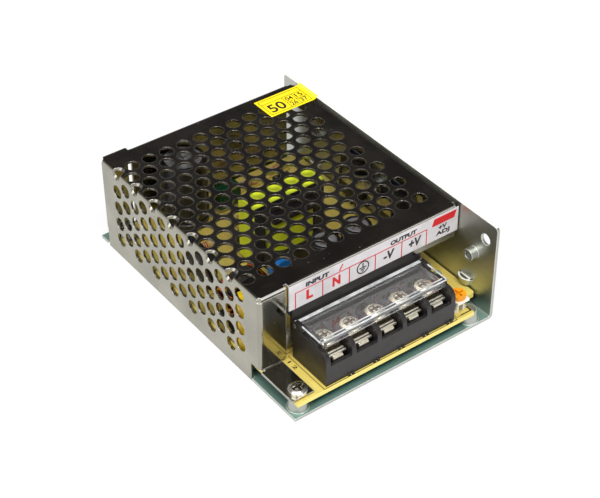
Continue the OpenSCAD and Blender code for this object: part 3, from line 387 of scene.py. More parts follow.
def chassis_metal(name, s):
    """Zinc plated sheet: soft satin with a cool cast and rolling marks; its edges and the wall's top edge
    carry painted highlights, its floor a painted teal reflection of the board's underside.
    """
    m, b, p = material(name, (0.6, 0.6, 0.6, 1), 0.36, 1.0)
    mot = use(b, "Mottle", Scale=90.0, Fine_Scale=2600.0)
    roll = b.noise(b.coords(scale=(1.0, 0.03, 1.0)), 1400.0, 2.0)
    rub = use(b, "Scratches", Scale=40.0, Amount=0.5)
    edge = use(b, "Edge Mask", Amount=1.0, Radius=0.00035)
    z = b.axis(b.coords(), 2)
    # the floor plate is tinted teal as a painted reflection of the board's green underside
    plate = b.times(b.rest(step_over(b, z, CHASSIS_T + 0.0002)), b.ramp(facing(b, 2), 0.8, 0.95))
    top_edge_highlight = step_over(b, z, CHASSIS_HI[2] - 0.0002)
    base = b.mix(b.ramp(mot["Patches"], 0.35, 0.65), tuple(s.chassis_colour) + (1,), rgb(192, 195, 188))
    base = b.mix(b.ramp(roll, 0.5, 0.8, 0, 0.25), base, rgb(140, 142, 136))
    base = b.mix(b.times(plate, 0.8), base, rgb(92, 136, 125))
    base = b.mix(b.times(rub["Mask"], 0.5), base, rgb(206, 206, 198))
    # painted highlight: edges and the wall's top edge mix to near white
    bright = b.math("MAXIMUM", edge["Mask"], top_edge_highlight)
    base = b.mix(bright, base, rgb(240, 240, 236))
    b.feed(p.inputs["Base Color"], base)
    # the painted highlight and the floor's painted reflection lose metal, so they show as plain colour
    bare = b.math("MAXIMUM", b.times(bright, 0.7), b.times(plate, 0.55))
    b.feed(p.inputs["Metallic"], b.rest(bare))
    b.feed(p.inputs["Roughness"], b.ramp(mot["Patches"], 0.3, 0.7, 0.34, 0.46))
    bump(b, p, mot["Grain"], 0.05, 0.00002, edge["Normal"])
    return m


def board_laminate(name, s):
    """Tan laminate with resin clouds and fibre; green solder mask below, pale cut edges."""
    m, b, p = material(name, rgb(216, 194, 96), 0.38)
    mot = use(b, "Mottle", Scale=85.0, Fine_Scale=2200.0)
    fib = b.noise(b.coords(scale=(1.0, 0.12, 1.0)), 900.0, 2.0)
    geo = b.node("ShaderNodeNewGeometry")
    nz = b.axis(geo.outputs["True Normal"], 2)
    base = b.mix(b.ramp(mot["Patches"], 0.35, 0.68), tuple(s.board_colour) + (1,), rgb(192, 166, 78))
    base = b.mix(b.ramp(fib, 0.5, 0.75, 0, 0.3), base, rgb(224, 208, 128))
    under = b.mix(mot["Patches"], rgb(30, 104, 92), rgb(46, 128, 112))
    base = b.mix(b.ramp(nz, 0.3, 0.6), rgb(228, 208, 112), base)
    base = b.mix(b.ramp(nz, -0.3, -0.6), base, under)
    b.feed(p.inputs["Base Color"], base)
    bump(b, p, fib, 0.1, 0.00004)
    return m


def with_metal(m, along, lo, hi, colour):
    """Adds bare metal to a finish where the place along an axis lies between two values."""
    b = Build(m.node_tree)
    p = principled(m)
    a = b.axis(b.coords(), along)
    mask = b.times(step_over(b, a, lo), b.rest(step_over(b, a, hi)))
    tint(b, p, mask, colour)
    b.feed(p.inputs["Metallic"], mask)
    return m


def dark_recess(m, boxes, radius):
    """Shades the driver recess of upright screws, given by their boxes."""
    b = Build(m.node_tree)
    p = principled(m)
    v = b.coords()
    x, y, z = (b.axis(v, i) for i in range(3))
    near = None
    for lo, hi in boxes:
        dx = b.math("SUBTRACT", x, (lo[0] + hi[0]) / 2)
        dy = b.math("SUBTRACT", y, (lo[1] + hi[1]) / 2)
        d = b.math("SQRT", b.math("ADD", b.times(dx, dx), b.times(dy, dy)))
        near = d if near is None else b.math("MINIMUM", near, d)
    inside = b.rest(step_over(b, near, radius))
    below = b.rest(step_over(b, z, boxes[0][1][2] - 0.00016, 0.00006))
    mask = b.times(inside, below)
    tint(b, p, mask, rgb(128, 120, 104))
    return m


def lets_light_through(m, b, p):
    """Keeps a clear part from shading what lies under it."""
    path = b.node("ShaderNodeLightPath")
    clear = b.node("ShaderNodeBsdfTransparent")
    blend(m, b, path.outputs["Is Shadow Ray"], p.outputs[0], clear.outputs[0])


def make_materials(s):
    """All finishes, by plain name."""
    M = MATS
    M["cover"] = sheet_metal("cover sheet", s)
    M["chassis"] = chassis_metal("chassis sheet", s)
    M["board"] = board_laminate("board laminate", s)
    M["screw"] = plated("nickel screw", rgb(240, 236, 226), 0.3)
    m = plated("tab screw", rgb(240, 236, 226), 0.22)
    M["tab screw"] = dark_recess(m, solids("tab_screws"), 0.0019)
    m = plated("terminal screw", rgb(236, 226, 200), 0.24, dull=rgb(176, 164, 134), bare=0.75)
    M["terminal screw"] = dark_recess(m, [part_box("terminal_screw_%d" % k) for k in range(1, 6)], 0.002)
    M["rib"] = plated("wire rib", rgb(244, 240, 226), 0.34, dull=rgb(206, 200, 178))
    # pale near-white plastic on the hooks' rims: a painted highlight
    M["painted edge highlight"] = moulded("painted edge highlight", rgb(226, 226, 220), 0.35, 0.05)
    # dark olive discs in the hooks' mouths: painted shade of their hollow insides
    M["hollow"] = moulded("painted hook shade", rgb(74, 76, 48), 0.4)
    # the clamp plates are toned darker than the contacts as painted shade under the lid
    M["clamp"] = plated("clamp plate", rgb(150, 145, 130), 0.3, dull=rgb(96, 90, 74))
    M["contact"] = plated("tinned brass", rgb(238, 233, 214), 0.36, dull=rgb(190, 182, 152))
    # painted shade: the contacts' parts under the lid are darkened
    b = Build(M["contact"].node_tree)
    under_lid = step_over(b, b.axis(b.coords(), 1), LID_LO[1] - 0.0001, 0.0002)
    tint(b, principled(M["contact"]), under_lid, rgb(84, 78, 64))
    M["spring"] = plated("spring steel", rgb(196, 194, 190), 0.25)
    M["aluminium"] = plated("aluminium", rgb(232, 233, 236), 0.42)
    M["copper"] = plated("enamelled copper", rgb(190, 104, 46), 0.2, dull=rgb(112, 56, 26))
    M["black plastic"] = moulded("terminal plastic", rgb(30, 27, 27), 0.4, 0.1, 0.3)
    M["white plastic"] = moulded("trimmer plastic", rgb(226, 222, 208), 0.4)
    M["orange plastic"] = moulded("knob plastic", rgb(232, 148, 6), 0.38, patch=0.3)
    M["sleeve"] = moulded("capacitor sleeve", rgb(26, 24, 26), 0.28, 0.05, 0.1)
    M["stripe"] = moulded("sleeve stripe", rgb(176, 172, 160), 0.3, 0.05, 0.1)
    M["black epoxy"] = moulded("black epoxy", rgb(24, 23, 24), 0.5, 0.4, 0.2)
    M["ferrite"] = moulded("ferrite", rgb(40, 39, 40), 0.55, 0.5, 0.3)
    M["yellow case"] = moulded("filter capacitor case", rgb(244, 206, 12), 0.36)
    legs, tin = BOARD_TOP + 0.0016, rgb(214, 212, 204)
    for key, colour, rough in (("green lacquer", rgb(14, 58, 34), 0.3),
                               ("blue lacquer", rgb(22, 112, 190), 0.28)):
        M[key] = with_metal(moulded(key, colour, rough), 2, -1, legs, tin)
    M["tape"] = moulded("winding tape", rgb(206, 214, 40), 0.35, 0.05, 0.1)
    M["bright tape"] = moulded("label tape", rgb(232, 246, 48), 0.32, 0.05, 0.1)
    M["silicone"] = moulded("pad silicone", rgb(120, 132, 140), 0.7)
    M["resistor"] = moulded("resistor lacquer", rgb(196, 166, 112), 0.4)
    M["sheet film"] = moulded("insulating film", rgb(58, 104, 94), 0.3)
    M["score"] = moulded("score line", rgb(70, 70, 74), 0.4)

    # fuse: ceramic body between two bare end caps
    lo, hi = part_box("mains_fuse")
    cap, cap_l = rgb(216, 210, 190), 0.0042
    m = with_metal(moulded("fuse ceramic", rgb(226, 222, 210), 0.5), 0, -1, lo[0] + cap_l, cap)
    b = Build(m.node_tree)
    p = principled(m)
    far = step_over(b, b.axis(b.coords(), 0), hi[0] - cap_l)
    tint(b, p, far, cap)
    b.feed(p.inputs["Metallic"], b.math("MAXIMUM", p.inputs["Metallic"].links[0].from_socket, far))
    M["ceramic"] = m

    # lid: clear moulded plastic with a faint milky veil
    m, b, p = material("clear plastic", (0.96, 0.97, 0.97, 1), 0.02, Transmission_Weight=0.98, IOR=1.55)
    mot = use(b, "Mottle", Scale=110.0, Fine_Scale=1500.0)
    b.feed(p.inputs["Roughness"], b.ramp(mot["Patches"], 0.4, 0.8, 0.015, 0.04))
    bump(b, p, mot["Patches"], 0.03, 0.0001)
    lets_light_through(m, b, p)
    M["clear"] = m
    # pale cloudy strips on the lid's rim: a painted highlight of its thick edges
    m, b, p = material("lid rim highlight", (0.92, 0.93, 0.93, 1), 0.16, Transmission_Weight=0.35, IOR=1.4)
    mot = use(b, "Mottle", Scale=260.0, Fine_Scale=1500.0)
    cloud = b.ramp(mot["Patches"], 0.35, 0.65)
    b.feed(p.inputs["Base Color"], b.mix(cloud, rgb(238, 240, 240), rgb(176, 180, 180)))
    b.feed(p.inputs["Roughness"], b.ramp(mot["Patches"], 0.4, 0.8, 0.1, 0.3))
    M["rim"] = m

    # indicator lens
    m, b, p = material("green lens", rgb(150, 216, 120), 0.08, Transmission_Weight=0.4, IOR=1.5)
    mot = use(b, "Mottle", Scale=300.0)
    b.feed(p.inputs["Base Color"], b.mix(mot["Patches"], rgb(120, 140, 100), rgb(160, 172, 140)))
    M["lens"] = m

    # printed films and inks
    for key, name, one, two, rough in (
            ("label", "label film", rgb(206, 202, 204), rgb(188, 184, 186), 0.32),
            ("sticker", "sticker film", rgb(252, 228, 2), rgb(240, 208, 0), 0.4)):
        m, b, p = material(name, one, rough)
        mot = use(b, "Mottle", Scale=150.0, Fine_Scale=4000.0)
        b.feed(p.inputs["Base Color"], b.mix(b.ramp(mot["Patches"], 0.4, 0.7), one, two))
        bump(b, p, mot["Grain"], 0.05, 0.00002)
        M[key] = m
    for key, col in (("red ink", rgb(196, 18, 22)), ("black ink", rgb(22, 20, 22)),
                     ("board ink", rgb(36, 28, 14)), ("brown band", rgb(96, 48, 20)),
                     ("red band", rgb(190, 34, 24)), ("gold band", rgb(190, 150, 60))):
        m, b, p = material(key, col, 0.45)
        mot = use(b, "Mottle", Scale=700.0)
        pale = tuple(c * 0.8 + 0.006 for c in col[:3]) + (1,)
        b.feed(p.inputs["Base Color"], b.mix(b.ramp(mot["Patches"], 0.5, 0.8), col, pale))
        M[key] = m


CAD_FINISH = {
    "chassis": "chassis", "cover": "cover", "tab_screws": "tab screw", "cover_side_screws": "screw",
    "insulating_sheet": "sheet film", "circuit_board": "board", "terminal_block": "black plastic",
    "terminal_contacts": "contact", "terminal_lid": "clear", "trimmer_body": "white plastic",
    "trimmer_knob": "orange plastic", "indicator_led": "lens", "mains_fuse": "ceramic",
    "film_capacitor": "yellow case", "thermistor": "green lacquer", "choke_core": "ferrite",
    "choke_windings": "copper", "bridge_rectifier": "black epoxy", "bulk_capacitor": "sleeve",
    "transformer_core": "ferrite", "transformer_bobbin": "black plastic", "transformer_winding": "tape",
    "transformer_tape": "bright tape", "power_transistor": "black epoxy", "output_rectifier": "black epoxy",
    "thermal_pads": "silicone", "device_clip": "spring", "clip_screw": "screw",
    "output_capacitors": "sleeve", "output_choke": "black epoxy", "safety_capacitors": "blue lacquer",
    "snubber_capacitor": "green lacquer", "control_chip": "black epoxy", "optocoupler": "white plastic",
    "resistors": "resistor",
}
for k in range(1, 6):
    CAD_FINISH["clamp_plate_%d" % k] = "clamp"
    CAD_FINISH["terminal_screw_%d" % k] = "terminal screw"


def finish(names):
    """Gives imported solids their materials; their meshes stay as they are."""
    for name in names:
        mats = NODES[name].data.materials
        mats.clear()
        mats.append(MATS[CAD_FINISH[name]])


# ---------- meshes ----------

def piece(name, bm, mat, body="housing"):
    """Turns a bmesh into a finished object that rides on a body."""
    bmesh.ops.remove_doubles(bm, verts=bm.verts[:], dist=1e-7)
    bmesh.ops.recalc_face_normals(bm, faces=bm.faces[:])
    me = bpy.data.meshes.new(name)
    bm.to_mesh(me)
    bm.free()
    o = bpy.data.objects.new(name, me)
    bpy.context.scene.collection.objects.link(o)
    me.materials.append(MATS[mat])
    if body:
        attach(o, body)
    return o


def solids(name):
    """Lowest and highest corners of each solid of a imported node, from left to right."""
    bm = bmesh.new()
    bm.from_mesh(NODES[name].data)
    bmesh.ops.remove_doubles(bm, verts=bm.verts[:], dist=1e-6)
    left, found = set(bm.verts), []
    while left:
        stack = [left.pop()]
        lo, hi = stack[0].co.copy(), stack[0].co.copy()
        while stack:
            v = stack.pop()
            for i in range(3):
                lo[i], hi[i] = min(lo[i], v.co[i]), max(hi[i], v.co[i])
            for e in v.link_edges:
                w = e.other_vert(v)
                if w in left:
                    left.discard(w)
                    stack.append(w)
        found.append((lo, hi))
    bm.free()
    return sorted(found, key=lambda b: (round(b[0][0], 4), b[0][1]))


def merge(target, source, place=None):
    """Moves one bmesh into another, placed by a matrix."""
    if place is not None:
        bmesh.ops.transform(source, matrix=place, verts=source.verts[:])
    me = bpy.data.meshes.new("part")
    source.to_mesh(me)
    source.free()
    target.from_mesh(me)
    bpy.data.meshes.remove(me)


def add_box(bm, lo, hi, round_by=0.0, segments=1, place=None):
    """Box between two corners in metres, with rounded edges if asked."""
    part = bmesh.new()
    bmesh.ops.create_cube(part, size=1.0)
    bmesh.ops.scale(part, vec=[hi[i] - lo[i] for i in range(3)], verts=part.verts[:])
    bmesh.ops.translate(part, vec=[(hi[i] + lo[i]) / 2 for i in range(3)], verts=part.verts[:])
    if round_by:
        bmesh.ops.bevel(part, geom=part.edges[:], offset=round_by, segments=segments, affect="EDGES",
                        profile=0.5, material=-1)
    merge(bm, part, place)


def turned(bm, profile, place, steps=40, angle=2 * math.pi, closed=False):
    """Turns (radius, height) points round the local z axis of place; sizes in metres."""
    part = bmesh.new()
    vs = [part.verts.new((x, 0, h)) for x, h in profile]
    pairs = list(zip(vs, vs[1:])) + ([(vs[-1], vs[0])] if closed else [])
    es = [part.edges.new(pair) for pair in pairs]
    whole = abs(angle - 2 * math.pi) < 1e-6
    bmesh.ops.spin(part, geom=vs + es, cent=(0, 0, 0), axis=(0, 0, 1), angle=angle, steps=steps,
                   use_merge=whole, use_duplicate=False)
    bmesh.ops.remove_doubles(part, verts=part.verts[:], dist=1e-7)
    if not whole:
        bmesh.ops.holes_fill(part, edges=part.edges[:], sides=0)
    merge(bm, part, place)


def ring(bm, place, r_in, r_out, low, high, steps=40, angle=2 * math.pi):
    """Flat ring, or a part of one, between two radii and two heights."""
    turned(bm, [(r_in, low), (r_out, low), (r_out, high), (r_in, high)], place, steps, angle, True)


# ---------- prints: ink lies on a plane, x along it and y up it ----------

INK = 0.00003


def bar(bm, place, x0, y0, x1, y1):
    """Printed bar between two corners in mm."""
    add_box(bm, (x0 * MM, y0 * MM, -INK), (x1 * MM, y1 * MM, INK), place=place)


def frame_lines(bm, place, x0, y0, x1, y1, w):
    """Printed outline of a rectangle, w mm wide."""
    for a, b, c, d in ((x0, y0, x1, y0 + w), (x0, y1 - w, x1, y1),
                       (x0, y0, x0 + w, y1), (x1 - w, y0, x1, y1)):
        bar(bm, place, a, b, c, d)


def circle_line(bm, place, x, y, r, w):
    """Printed circle line inside radius r, w mm wide."""
    ring(bm, place @ Matrix.Translation((x * MM, y * MM, 0)), (r - w) * MM, r * MM, -INK, INK)


def words(bm, place, text, x0, y0, x1, y1, weight=0.02, lean=0.0):
    """Printed letters that fill the box between two corners in mm."""
    curve = bpy.data.curves.new("letters", "FONT")
    curve.body = text
    curve.extrude = 0.5
    curve.offset = weight
    curve.shear = lean
    curve.resolution_u = 4
    o = bpy.data.objects.new("letters", curve)
    bpy.context.scene.collection.objects.link(o)
    bpy.context.view_layer.update()
    me = bpy.data.meshes.new_from_object(o.evaluated_get(bpy.context.evaluated_depsgraph_get()))
    bpy.data.objects.remove(o)
    xs = [v.co.x for v in me.vertices]
    ys = [v.co.y for v in me.vertices]
    part = bmesh.new()
    part.from_mesh(me)
    bpy.data.meshes.remove(me)
    wide, high = (x1 - x0) * MM / (max(xs) - min(xs)), (y1 - y0) * MM / (max(ys) - min(ys))
    fit = Matrix.Diagonal((wide, high, 2 * INK, 1)) @ Matrix.Translation((-min(xs), -min(ys), 0))
    merge(bm, part, place @ Matrix.Translation((x0 * MM, y0 * MM, 0)) @ fit)


class CaseSettings(bpy.types.PropertyGroup):
    """Colours of the sheet metal and of the board."""
    # the cover top's dark tone is a painted reflection of a dark surround
    painted_top_reflection: bpy.props.FloatVectorProperty(
        name="Cover Top", description="Dark satin tone of the cover's top", subtype="COLOR", size=3,
        default=rgb(66, 62, 58)[:3])
    side_colour: bpy.props.FloatVectorProperty(
        name="Cover Sides", description="Pale tone of the cover's walls", subtype="COLOR", size=3,
        default=rgb(170, 167, 154)[:3])
    chassis_colour: bpy.props.FloatVectorProperty(
        name="Chassis", description="Zinc tone of the chassis", subtype="COLOR", size=3,
        default=rgb(180, 183, 174)[:3])
    board_colour: bpy.props.FloatVectorProperty(
        name="Board", description="Tan of the circuit board", subtype="COLOR", size=3,
        default=rgb(198, 182, 92)[:3])


class StageSettings(bpy.types.PropertyGroup):
    """Light and floor round the supply."""
    key_power: bpy.props.FloatProperty(
        name="Key Light", description="Power of the main lamp", default=9.0, unit="POWER")
    fill_power: bpy.props.FloatProperty(
        name="Fill Light", description="Power of the fill lamp", default=4.0, unit="POWER")
    world_level: bpy.props.FloatProperty(
        name="World Light", description="Level of the even light", default=0.55)
    floor_size: bpy.props.FloatProperty(
        name="Floor Size", description="Side of the floor", default=6.0, unit="LENGTH")


class OBJECT_OT_case_finish(bpy.types.Operator):
    """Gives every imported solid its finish"""
    bl_idname = "object.case_finish"
    bl_label = "Finish Case And Parts"

    def execute(self, context):
        make_groups()
        make_materials(context.scene.case_settings)
        finish(CAD_FINISH)
        return {"FINISHED"}


class OBJECT_OT_front_label(bpy.types.Operator):
    """Adds the printed label to the front flange"""
    bl_idname = "object.front_label"
    bl_label = "Front Label"

    def execute(self, context):
        right = COVER_HI[0] / MM - 0.25
        low = BLOCK_HI[2] / MM + 0.45
        film = bmesh.new()
        add_box(film, (LABEL_LEFT * MM, BAY_Y - 0.00008, low * MM),
                (right * MM, BAY_Y + LIFT, COVER_HI[2] - 0.0006))
        piece("front_label", film, "label")
        flat = Matrix.Translation((0, BAY_Y - 0.0001, 0)) @ Matrix.Rotation(math.pi / 2, 4, "X")
        red = bmesh.new()
        half = 0.17
        for x in LABEL_LINES:
            bar(red, flat, x - half, low, x + half, 31.2)
        bar(red, flat, LABEL_LINES[0] - half, 31.1, LABEL_LINES[-1] + half, 31.4)
        words(red, flat, "L", -21.8, 26.8, -19.3, 30.4, 0.05)
        words(red, flat, "N", -12.0, 26.7, -9.0, 30.3, 0.05)
        # lightning mark and a plain red field
        for x, z in ((-9.0, 32.8), (-9.6, 31.8)):
            place = flat @ Matrix.Translation((x * MM, z * MM, 0)) @ Matrix.Rotation(-0.5, 4, "Z")
            add_box(red, (0, 0, -INK), (0.45 * MM, 1.3 * MM, INK), place=place)
        lean = Matrix(((1, 0.33, 0, 0), (0, 1, 0, 0), (0, 0, 1, 0), (0, 0, 0, 1)))
        field = flat @ Matrix.Translation((26.7 * MM, 31.1 * MM, 0)) @ lean
        add_box(red, (0, 0, -INK), (9.2 * MM, 2.7 * MM, INK), place=field)
        piece("red_print", red, "red ink")
        ink = bmesh.new()
        for text, *place in LABEL_WORDS:
            words(ink, flat, text, *place)
        x, z = EARTH_X, EARTH_Z
        circle_line(ink, flat, x, z, 2.4, 0.42)
        bar(ink, flat, x - 0.22, z - 0.1, x + 0.22, z + 1.6)
        for n, half in enumerate((1.35, 0.85, 0.4)):
            bar(ink, flat, x - half, z - 0.3 - n * 0.68, x + half, z + 0.08 - n * 0.68)
        piece("black_print", ink, "black ink")
        return {"FINISHED"}


class OBJECT_OT_wire_ribs(bpy.types.Operator):
    """Adds the rounded wire ribs at the front of the five contacts"""
    bl_idname = "object.wire_ribs"
    bl_label = "Wire Ribs"

    def execute(self, context):
        bm = bmesh.new()
        r, tip = 0.00032, 0.0001
        for lo, hi in solids("terminal_contacts"):
            for y, rise, inset in ((lo[1] + 0.00125, 0.0003, 0.0006), (lo[1] + 0.0022, 0.0005, 0.0003)):
                place = Matrix.Translation((lo[0] + inset, y, hi[2])) @ Matrix.Rotation(math.pi / 2, 4, "Y")
                length = hi[0] - lo[0] - 2 * inset
                profile = [(0, 0), (r - tip, 0), (r, tip), (r, length - tip), (r - tip, length), (0, length)]
                turned(bm, profile, Matrix.Translation((0, 0, rise - 0.0003)) @ place, 16)
        piece("wire_ribs", bm, "rib")
        return {"FINISHED"}


class OBJECT_OT_hook_rims(bpy.types.Operator):
    """Adds painted highlight rims and painted shade in the hollows of the board hooks on the side wall"""
    bl_idname = "object.hook_rims"
    bl_label = "Hook Rims"

    def execute(self, context):
        rims, hollows = bmesh.new(), bmesh.new()
        half, rim, low = HOOK_HALF, 0.0007, -0.00005
        for y in HOOK_YS:
            here = Matrix.Translation((CHASSIS_HI[0] - CHASSIS_T, y, HOOK_TOP)) \
                @ Matrix.Rotation(math.pi / 2, 4, "Z") @ Matrix.Diagonal((1, HOOK_OUT / half, 1, 1))
            ring(rims, here, half - rim, half, low, 0.00006, 20, math.pi)
            add_box(rims, (-half, 0, low), (half, rim, 0.00006), place=here)
            # painted shade disc over the hook's mouth
            ring(hollows, here, 0, half - rim + 0.0001, low, LIFT, 20, math.pi)
        piece("hook_rims", rims, "painted edge highlight")
        piece("hook_hollow_shade", hollows, "hollow")
        return {"FINISHED"}


class OBJECT_OT_lid_rims(bpy.types.Operator):
    """Adds pale strips along the edges of the clear lid, a painted highlight of its thick moulded rim"""
    bl_idname = "object.lid_rims"
    bl_label = "Lid Rims"

    def execute(self, context):
        inset, rim = 0.0004, 0.0005
        x0, y0 = LID_LO[0] + inset, LID_LO[1] + inset
        x1, y1, z = LID_HI[0] - inset, LID_HI[1] - inset, LID_HI[2]
        bm = bmesh.new()
        for lo, hi in (((x0, y0), (x1, y0 + rim)), ((x0, y1 - 0.0014), (x1, y1 - 0.0003)),
                       ((x0, y0), (x0 + rim, y1)), ((x1 - rim, y0), (x1, y1))):
            add_box(bm, (lo[0], lo[1], z - 0.0001), (hi[0], hi[1], z + 0.00022), 0.00008, 2)
        add_box(bm, (x0 + 0.001, y0 + 0.0013, z - 0.0001), (x1 - 0.001, y0 + 0.0017, z + 0.00016), 0.00006, 2)
        piece("lid_rims", bm, "rim", body="lid")
        return {"FINISHED"}


class OBJECT_OT_wall_sticker(bpy.types.Operator):
    """Adds the yellow check sticker folded over the edge of the side wall"""
    bl_idname = "object.wall_sticker"
    bl_label = "Wall Sticker"

    def execute(self, context):
        y0, y1 = STICKER_YS
        top, rim, out = COVER_HI[2], CHASSIS_HI[2], CHASSIS_HI[0]
        lift, corner = 0.00006, 0.0002
        bm = bmesh.new()
        line = [(STICKER_LEFT, top), (STICKER_FOLD, top), (STICKER_FOLD + 0.0007, top + 0.0003),
                (out - CHASSIS_T + 0.00005, rim), (out - corner, rim),
                (out, rim - corner), (out, rim - STICKER_DROP)]
        vs = [bm.verts.new((x + (lift if x == out else 0), y0, z + (lift if x < out else 0)))
              for x, z in line]
        es = [bm.edges.new(pair) for pair in zip(vs, vs[1:])]
        ret = bmesh.ops.extrude_edge_only(bm, edges=es)
        new = [v for v in ret["geom"] if isinstance(v, bmesh.types.BMVert)]
        bmesh.ops.translate(bm, vec=(0, y1 - y0, 0), verts=new)
        bmesh.ops.recalc_face_normals(bm, faces=bm.faces[:])
        bmesh.ops.solidify(bm, geom=bm.faces[:], thickness=0.00005)
        piece("check_sticker", bm, "sticker")
        flat = Matrix.Translation((0, 0, top + 0.0001))
        ink = bmesh.new()
        left, right, front, back, line = 20.3, 36.9, 37.3, 46.2, 0.15
        frame_lines(ink, flat, left, front, right, back, 0.16)
        bar(ink, flat, left, 43.9, right, 43.9 + line)
        for x in (28.6, 32.7):
            bar(ink, flat, x, front, x + line, 43.9)
        bar(ink, flat, 28.6, 40.5, right, 40.5 + line)
        words(ink, flat, "50", 21.3, 38.2, 27.6, 42.9, 0.015)
        for n, (x, y) in enumerate(((29.8, 41.2), (33.9, 41.2), (29.8, 38.0), (33.9, 38.0))):
            words(ink, flat, "%d%d" % (n, n + 4), x - 0.5, y, x + 2.2, y + 2.2, 0.01)
        piece("sticker_print", ink, "black ink")
        return {"FINISHED"}


class OBJECT_OT_board_marks(bpy.types.Operator):
    """Adds the plain printed outlines of the parts to the board"""
    bl_idname = "object.board_marks"
    bl_label = "Board Marks"

    def execute(self, context):
        flat = Matrix.Translation((0, 0, BOARD_TOP + LIFT))
        bm = bmesh.new()
        x0, x1 = BLOCK_LO[0] / MM - 0.9, BLOCK_HI[0] / MM + 0.8
        line, front = 0.2, -54.4
        bar(bm, flat, x0 - line, front, x0, -36.4)
        bar(bm, flat, x1, front, x1 + line, -46.0)
        bar(bm, flat, x0 - line, front - 0.22, x1 + line, front - 0.02)
        # bold corner beside the trimmer
        lo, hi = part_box("trimmer_body")
        right, front = hi[0] / MM + 0.9, lo[1] / MM - 0.5
        bar(bm, flat, right - 4.4, front, right, front + 0.4)
        bar(bm, flat, right - 0.4, front, right, front + 2.4)
        # plain number and ladder of ticks left of the block
        along = flat @ Matrix.Translation(((x0 - 0.8) * MM, -38 * MM, 0)) \
            @ Matrix.Rotation(-math.pi / 2, 4, "Z")
        words(bm, along, "1 2", 0.4, -1.2, 4.4, 0.0, 0.02)
        for n in range(6):
            bar(bm, flat, x0 + 1.4, -28.6 + n * 1.1, x0 + 4.6, -28.42 + n * 1.1)
        for name, gap in (("trimmer_body", 0.5), ("transformer_bobbin", 0.6), ("control_chip", 0.4),
                          ("optocoupler", 0.4), ("bridge_rectifier", 0.5), ("film_capacitor", 0.4),
                          ("snubber_capacitor", 0.4), ("mains_fuse", 0.5)):
            lo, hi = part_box(name)
            frame_lines(bm, flat, max(lo[0] / MM - gap, BOARD_LO[0] / MM + 0.1), lo[1] / MM - gap,
                        min(hi[0] / MM + gap, BOARD_HI[0] / MM - 0.1), hi[1] / MM + gap, 0.18)
        for name in ("bulk_capacitor", "output_capacitors", "output_choke", "indicator_led"):
            for lo, hi in solids(name):
                x, y = ((lo[i] + hi[i]) / 2 / MM for i in (0, 1))
                rad = (hi[0] - lo[0]) / 2 / MM + 0.5
                circle_line(bm, flat, x, y, rad, 0.18)
                if "capacitor" in name:
                    low = y - rad * 0.8
                    words(bm, flat, "+", x + rad + 0.3, low, x + rad + 1.5, low + 1.2, 0.01)
        for n, (lo, hi) in enumerate(solids("resistors")):
            left, front, right, back = (v / MM for v in (lo[0], lo[1], hi[0], hi[1]))
            frame_lines(bm, flat, left - 0.4, front - 0.4, right + 0.4, back + 0.4, 0.16)
            words(bm, flat, str(n + 1), right + 0.9, front + 0.4, right + 1.9, back - 0.6, 0.01)
        piece("board_marks", bm, "board ink")
        return {"FINISHED"}


class OBJECT_OT_capacitor_tops(bpy.types.Operator):
    """Adds scored metal tops and sleeve stripes to the round capacitors"""
    bl_idname = "object.capacitor_tops"
    bl_label = "Capacitor Tops"

    def execute(self, context):
        tops, score, stripe = bmesh.new(), bmesh.new(), bmesh.new()
        cans = solids("bulk_capacitor") + solids("output_capacitors")
        for n, (lo, hi) in enumerate(cans):
            r = (hi[0] - lo[0]) / 2 - 0.00125
            here = Matrix.Translation(((lo[0] + hi[0]) / 2, (lo[1] + hi[1]) / 2, hi[2] - 0.0003))
            turned(tops, [(0, 0), (r, 0), (r, 0.0001), (r - 0.0002, 0.00022), (r - 0.0007, 0.00024),
                          (r - 0.0009, 0.00018), (0, 0.00012)], here)
            for turn in ((0.4, 1.97) if n else (0.3, 1.35, 2.4)):
                place = here @ Matrix.Rotation(turn, 4, "Z")
                add_box(score, (-r * 0.8, -0.00013, 0.0001), (r * 0.8, 0.00013, 0.00019), place=place)
            side = here @ Matrix.Rotation(0.5 + n * 0.3, 4, "Z")
            out = (hi[0] - lo[0]) / 2
            ring(stripe, side, out + 0.00002, out + 0.00005, lo[2] - hi[2] + 0.0043, -0.0008, 8, 0.62)
        piece("capacitor_tops", tops, "aluminium")
        piece("capacitor_scores", score, "score")
        piece("sleeve_stripes", stripe, "stripe")
        return {"FINISHED"}


class OBJECT_OT_resistor_bands(bpy.types.Operator):
    """Adds the colour bands to the axial resistors"""
    bl_idname = "object.resistor_bands"
    bl_label = "Resistor Bands"

    def execute(self, context):
        bands = {"brown band": bmesh.new(), "red band": bmesh.new(), "gold band": bmesh.new()}
        for lo, hi in solids("resistors"):
            lead, waist = 0.0016, 0.0019
            d = hi[1] - lo[1] - 0.0004
            length = hi[0] - lo[0] - 2 * lead
            here = Matrix.Translation((lo[0] + lead, (lo[1] + hi[1]) / 2, BOARD_TOP + d / 2 + 0.0002)) \
                @ Matrix.Rotation(math.pi / 2, 4, "Y")
            first, last = waist, length - waist
            for n, key in enumerate(("brown band", "red band", "brown band", "gold band")):
                at = first + (last - first) * n / 3
                ring(bands[key], here, d / 2 - 0.0001, d / 2 + 0.00003, at - 0.0002, at + 0.0002, 24)
        for key, bm in bands.items():
            piece("resistor_" + key.replace(" ", "_"), bm, key)
        return {"FINISHED"}


